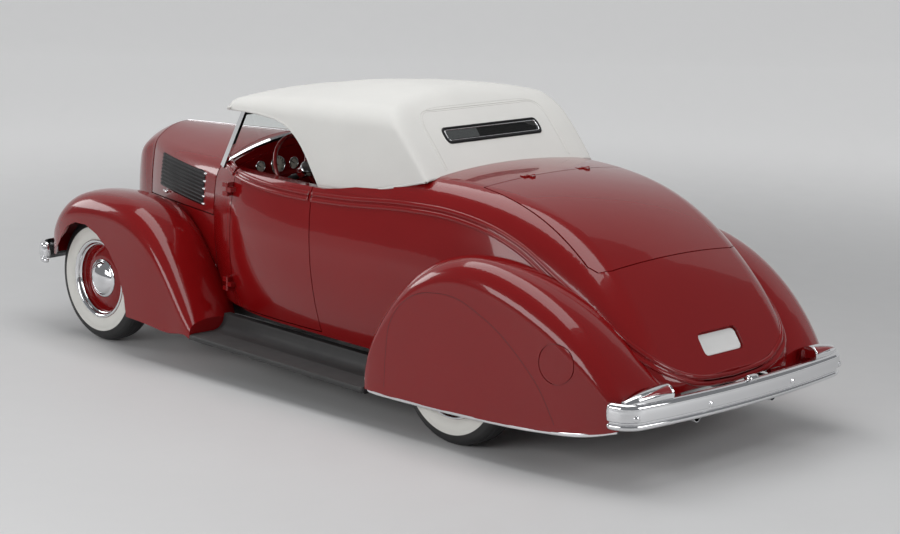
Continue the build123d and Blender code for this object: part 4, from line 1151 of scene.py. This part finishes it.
# Radius past the dial's own, offset from the dashboard
BEZEL = [(0.003, 0.0), (0.0035, 0.004), (0.0025, 0.0070), (0.0005, 0.0075), (-0.001, 0.0060),
         (-0.0015, 0.003)]
# Columns: y, z, radius
DIALS = ((0.356, 1.062, 0.030), (0.232, 1.062, 0.047), (0.118, 1.062, 0.030))


def dials():
    """Cream dials in bright bezels with plain ticks and one needle each."""
    bezels, faces, marks = [], [], []
    # Columns: turn, inner and outer share of the radius, half width
    strokes = [(t, 0.72, 0.92, 0.0016) for t in np.radians(np.linspace(-130, 130, 11))]
    strokes.append((math.radians(-60), -0.15, 0.80, 0.0022))
    for y, z, r in DIALS:
        centre = to_frame([DASH_X, y, z])
        bezel = np.array(BEZEL) + (r, 0)
        bezels.append(turned(bezel, centre, (-1, 0, 0), 40))
        faces.append(turned([(r + 0.001, 0.0004), (r, 0.0032), (r * 0.5, 0.0036), (0.0003, 0.0037)],
                            centre, (-1, 0, 0), 40))
        for turn, start, end, wide in strokes:
            spoke = np.array([0.0, -math.sin(turn), math.cos(turn)])
            cross = np.array([0.0, math.cos(turn), math.sin(turn)])
            ends = [centre + s * r * spoke for s in (start, end)]
            face = np.array([[end + c * wide * cross for c in (-1, 1)] for end in ends])
            marks.append(shell(face - (0.0056, 0, 0), face - (0.0032, 0, 0)))
    piece("dial_bezels", joined(bezels), "car", CHROME)
    piece("dial_faces", joined(faces), "car", CREAM)
    piece("dial_marks", joined(marks), "car", BLACK_TRIM, smooth=False)


dials()

SCREEN_FOOT, SCREEN_TILT = (2.046, 0.0, 1.072), math.radians(31.0)


def screen_garnish():
    """Dark rail behind the windscreen's foot: its arc, swept up and set back along the normal."""
    up = np.array([-math.sin(SCREEN_TILT), 0.0, math.cos(SCREEN_TILT)])
    ahead = np.array([math.cos(SCREEN_TILT), 0.0, math.sin(SCREEN_TILT)])
    half, crown = 0.520, 0.160
    radius = (half ** 2 + crown ** 2) / (2 * crown)
    y = np.linspace(-half, half, 80)[:, None]
    foot = crown - radius + np.sqrt(radius ** 2 - y ** 2) - 0.004
    rise = np.linspace(-0.004, 0.031, 8)[None]
    back = -0.0150 - 0.0045 * np.sqrt(np.clip(1 - (rise / 0.0175 - 0.77) ** 2 / 1.02, 0, 1))

    def skin(set_back):
        shift = y[..., None] * Y_AXIS + np.broadcast_to(set_back, (80, 8))[..., None] * ahead
        return to_frame(np.array(SCREEN_FOOT) + (foot + rise)[..., None] * up + shift)

    piece("screen_garnish", shell(skin(back), skin(-0.0142)), "car", BLACK_TRIM)


screen_garnish()

COLUMN_LEAN = math.radians(28.0)
WHEEL_HUB = (1.580, 0.330, 1.085)
HUB_OUT = np.array([-math.cos(COLUMN_LEAN), 0.0, math.sin(COLUMN_LEAN)])
HORN_CAP = [(0.034, -0.0002), (0.041, 0.003), (0.043, 0.008), (0.040, 0.014), (0.032, 0.0195),
            (0.020, 0.0235), (0.008, 0.0250), (0.0003, 0.0252)]
horn_cap = turned(HORN_CAP, to_frame(np.array(WHEEL_HUB) + 0.0045 * HUB_OUT), HUB_OUT, 40)
piece("horn_cap", horn_cap, "hand_wheel", CHROME)


def inside_mirror():
    """Oval mirror under the header: rings of one outline by share and depth, and a round stalk."""
    outline = rounded_box(0.085, 0.027, 0.022, 9)
    rings = [(0.0, -0.004), (1.0, -0.004), (1.04, 0.0), (1.0, 0.006), (0.8, 0.013), (0.4, 0.018),
             (0.0, 0.019)]
    grid = np.array([points_of(depth, *(outline.T * share)) for share, depth in rings])
    grid = grid + to_frame([1.845, 0.0, 1.318])
    body = outward((grid.reshape(-1, 3), grid_quads(*grid.shape[:2], loop_cols=True)))
    path = to_frame(smooth_path([(1.862, 0, 1.322), (1.872, 0, 1.345), (1.868, 0, 1.378)], 12))
    stalk = carried(path, Y_AXIS, ring_profile(0.009, 0.009, 10))
    piece("inside_mirror", joined([body, stalk]), "car", CHROME)


inside_mirror()

LAMP_FRONT = (3.246, 0.490, 0.650)
LAMP_RIM = [(0.0770, -0.012), (0.0805, -0.010), (0.0835, -0.002), (0.0830, 0.006), (0.0795, 0.0105),
            (0.0755, 0.0095), (0.0740, 0.004)]
LAMP_BOWL = [(0.0735, -0.0004), (0.073, 0.0010), (0.045, 0.0012), (0.0003, 0.0014)]
for name, outline, steps in (("headlamp_rims", LAMP_RIM, 64), ("headlamp_reflectors", LAMP_BOWL, 48)):
    places = [to_frame(np.array(LAMP_FRONT) * (1, sign, 1)) for _, sign in SIDES]
    pair = [turned(outline, place, (1, 0, 0), steps) for place in places]
    piece(name, joined(pair), "car", CHROME)


# Stage, light and camera
VIEW_YAW, VIEW_PITCH, VIEW_ROLL = -0.7914, -0.1981, 0.0172
CAMERA_AT = (-6.89613, 7.80853, 2.83562)
FOCAL_PIXELS = 2148.64
IMAGE_WIDTH = 900
SENSOR = 36.0
# Distances from the middle where the floor's glow starts and is full, and the full glow
GLOW_FROM, GLOW_FULL, GLOW = 2.2, 10.0, 0.40


def floor_finish():
    """Pale floor that stays pale far from the lamps.

    Its glow rises with distance and shows to camera, gloss and glass only.
    """
    mat = finish("pale_studio_floor", (0.66, 0.66, 0.66), (0.63, 0.63, 0.63), 0.6, (0.5, 0.6))
    tree = mat.node_tree
    far = node_in(tree, "VectorMath")
    far.operation = "LENGTH"
    span = node_in(tree, "MapRange", From_Min=GLOW_FROM, From_Max=GLOW_FULL, To_Max=GLOW)
    span.interpolation_type = "SMOOTHSTEP"
    wire(tree, (node_in(tree, "TexCoord").outputs["Object"], far.inputs[0]),
         (far.outputs["Value"], span.inputs["Value"]))
    seen = node_in(tree, "LightPath").outputs
    shown = math_node(tree, "MAXIMUM", seen["Is Camera Ray"], seen["Is Glossy Ray"])
    shown = math_node(tree, "MAXIMUM", shown, seen["Is Transmission Ray"])
    bsdf = tree.nodes["Principled BSDF"]
    wire(tree, (math_node(tree, "MULTIPLY", shown, span.outputs["Result"]), bsdf.inputs["Emission Color"]))
    bsdf.inputs["Emission Strength"].default_value = 1.0
    return mat


def stage_floor():
    """Flat floor that bends up into a backdrop on a quarter circle far behind the car."""
    size, back, radius = 40.0, 16.0, 6.0
    a = np.linspace(0, math.pi / 2, 24)
    run = np.concatenate([[-size], back + radius * np.sin(a), [back + radius]])
    rise = np.concatenate([[0.0], radius * (1 - np.cos(a)), [size]])
    across = np.linspace(-size, size, 3)
    ahead = np.array([math.cos(VIEW_YAW), math.sin(VIEW_YAW), 0.0])
    left = np.array([-ahead[1], ahead[0], 0.0])
    up = np.array([0.0, 0.0, 1.0])
    points = run[:, None, None] * ahead + across[None, :, None] * left + rise[:, None, None] * up
    mesh = bpy.data.meshes.new("studio_floor")
    mesh.from_pydata(points.reshape(-1, 3).tolist(), [], grid_quads(len(run), 3)[:, ::-1].tolist())
    mesh.shade_smooth()
    floor = bpy.data.objects.new("studio_floor", mesh)
    bpy.context.scene.collection.objects.link(floor)
    mesh.materials.append(floor_finish())


def softbox(name, place, target, size, watts):
    """Rectangular lamp at a place, facing a target."""
    light = bpy.data.lights.new(name, "AREA")
    light.shape = "RECTANGLE"
    light.size, light.size_y = size
    light.energy = watts
    obj = bpy.data.objects.new(name, light)
    away = unit(np.asarray(place, float) - np.asarray(target, float))
    right = unit(np.cross([0.0, 0.0, 1.0], away)) if abs(away[2]) < 0.99 else np.array([1.0, 0.0, 0.0])
    up = np.cross(away, right)
    matrix = np.eye(4)
    matrix[:3, 0], matrix[:3, 1], matrix[:3, 2], matrix[:3, 3] = right, up, away, place
    obj.matrix_world = Matrix(matrix.tolist())
    bpy.context.scene.collection.objects.link(obj)


def photo_camera():
    """Fitted view: the lens is the focal length in pixels times sensor over image width."""
    cam = bpy.data.cameras.new("photo_camera")
    cam.sensor_fit = "HORIZONTAL"
    cam.sensor_width = SENSOR
    cam.lens = FOCAL_PIXELS * SENSOR / IMAGE_WIDTH
    cam.clip_end = 200.0
    level = math.cos(VIEW_PITCH)
    ahead = np.array([level * math.cos(VIEW_YAW), level * math.sin(VIEW_YAW), math.sin(VIEW_PITCH)])
    right = unit(np.cross(ahead, [0.0, 0.0, 1.0]))
    up = np.cross(right, ahead)
    c, s = math.cos(VIEW_ROLL), math.sin(VIEW_ROLL)
    matrix = np.eye(4)
    matrix[:3, 0], matrix[:3, 1], matrix[:3, 2] = right * c + up * s, up * c - right * s, -ahead
    matrix[:3, 3] = to_frame(CAMERA_AT)
    obj = bpy.data.objects.new("photo_camera", cam)
    obj.matrix_world = Matrix(matrix.tolist())
    bpy.context.scene.collection.objects.link(obj)
    bpy.context.scene.camera = obj


def studio_light():
    """Dim even surroundings and four large lamps."""
    world = bpy.data.worlds.new("studio_world")
    bpy.context.scene.world = world
    world.use_nodes = True
    set_values(world.node_tree.nodes["Background"], {"Color": (0.80, 0.82, 0.85, 1), "Strength": 0.26})
    softbox("overhead_box", (0.0, 0.5, 5.5), (0.0, 0.0, 0.5), (7.0, 3.0), 190.0)
    softbox("left_box", (-0.5, 7.0, 2.6), (0.2, 0.0, 0.6), (7.0, 2.0), 190.0)
    softbox("rear_box", (-7.5, -1.5, 3.0), (0.0, 0.0, 0.7), (4.0, 2.2), 130.0)
    softbox("front_box", (7.0, 3.0, 3.2), (0.0, 0.0, 0.7), (3.0, 2.0), 80.0)


photo_camera()
studio_light()
stage_floor()
bpy.context.scene.view_settings.view_transform = "Standard"
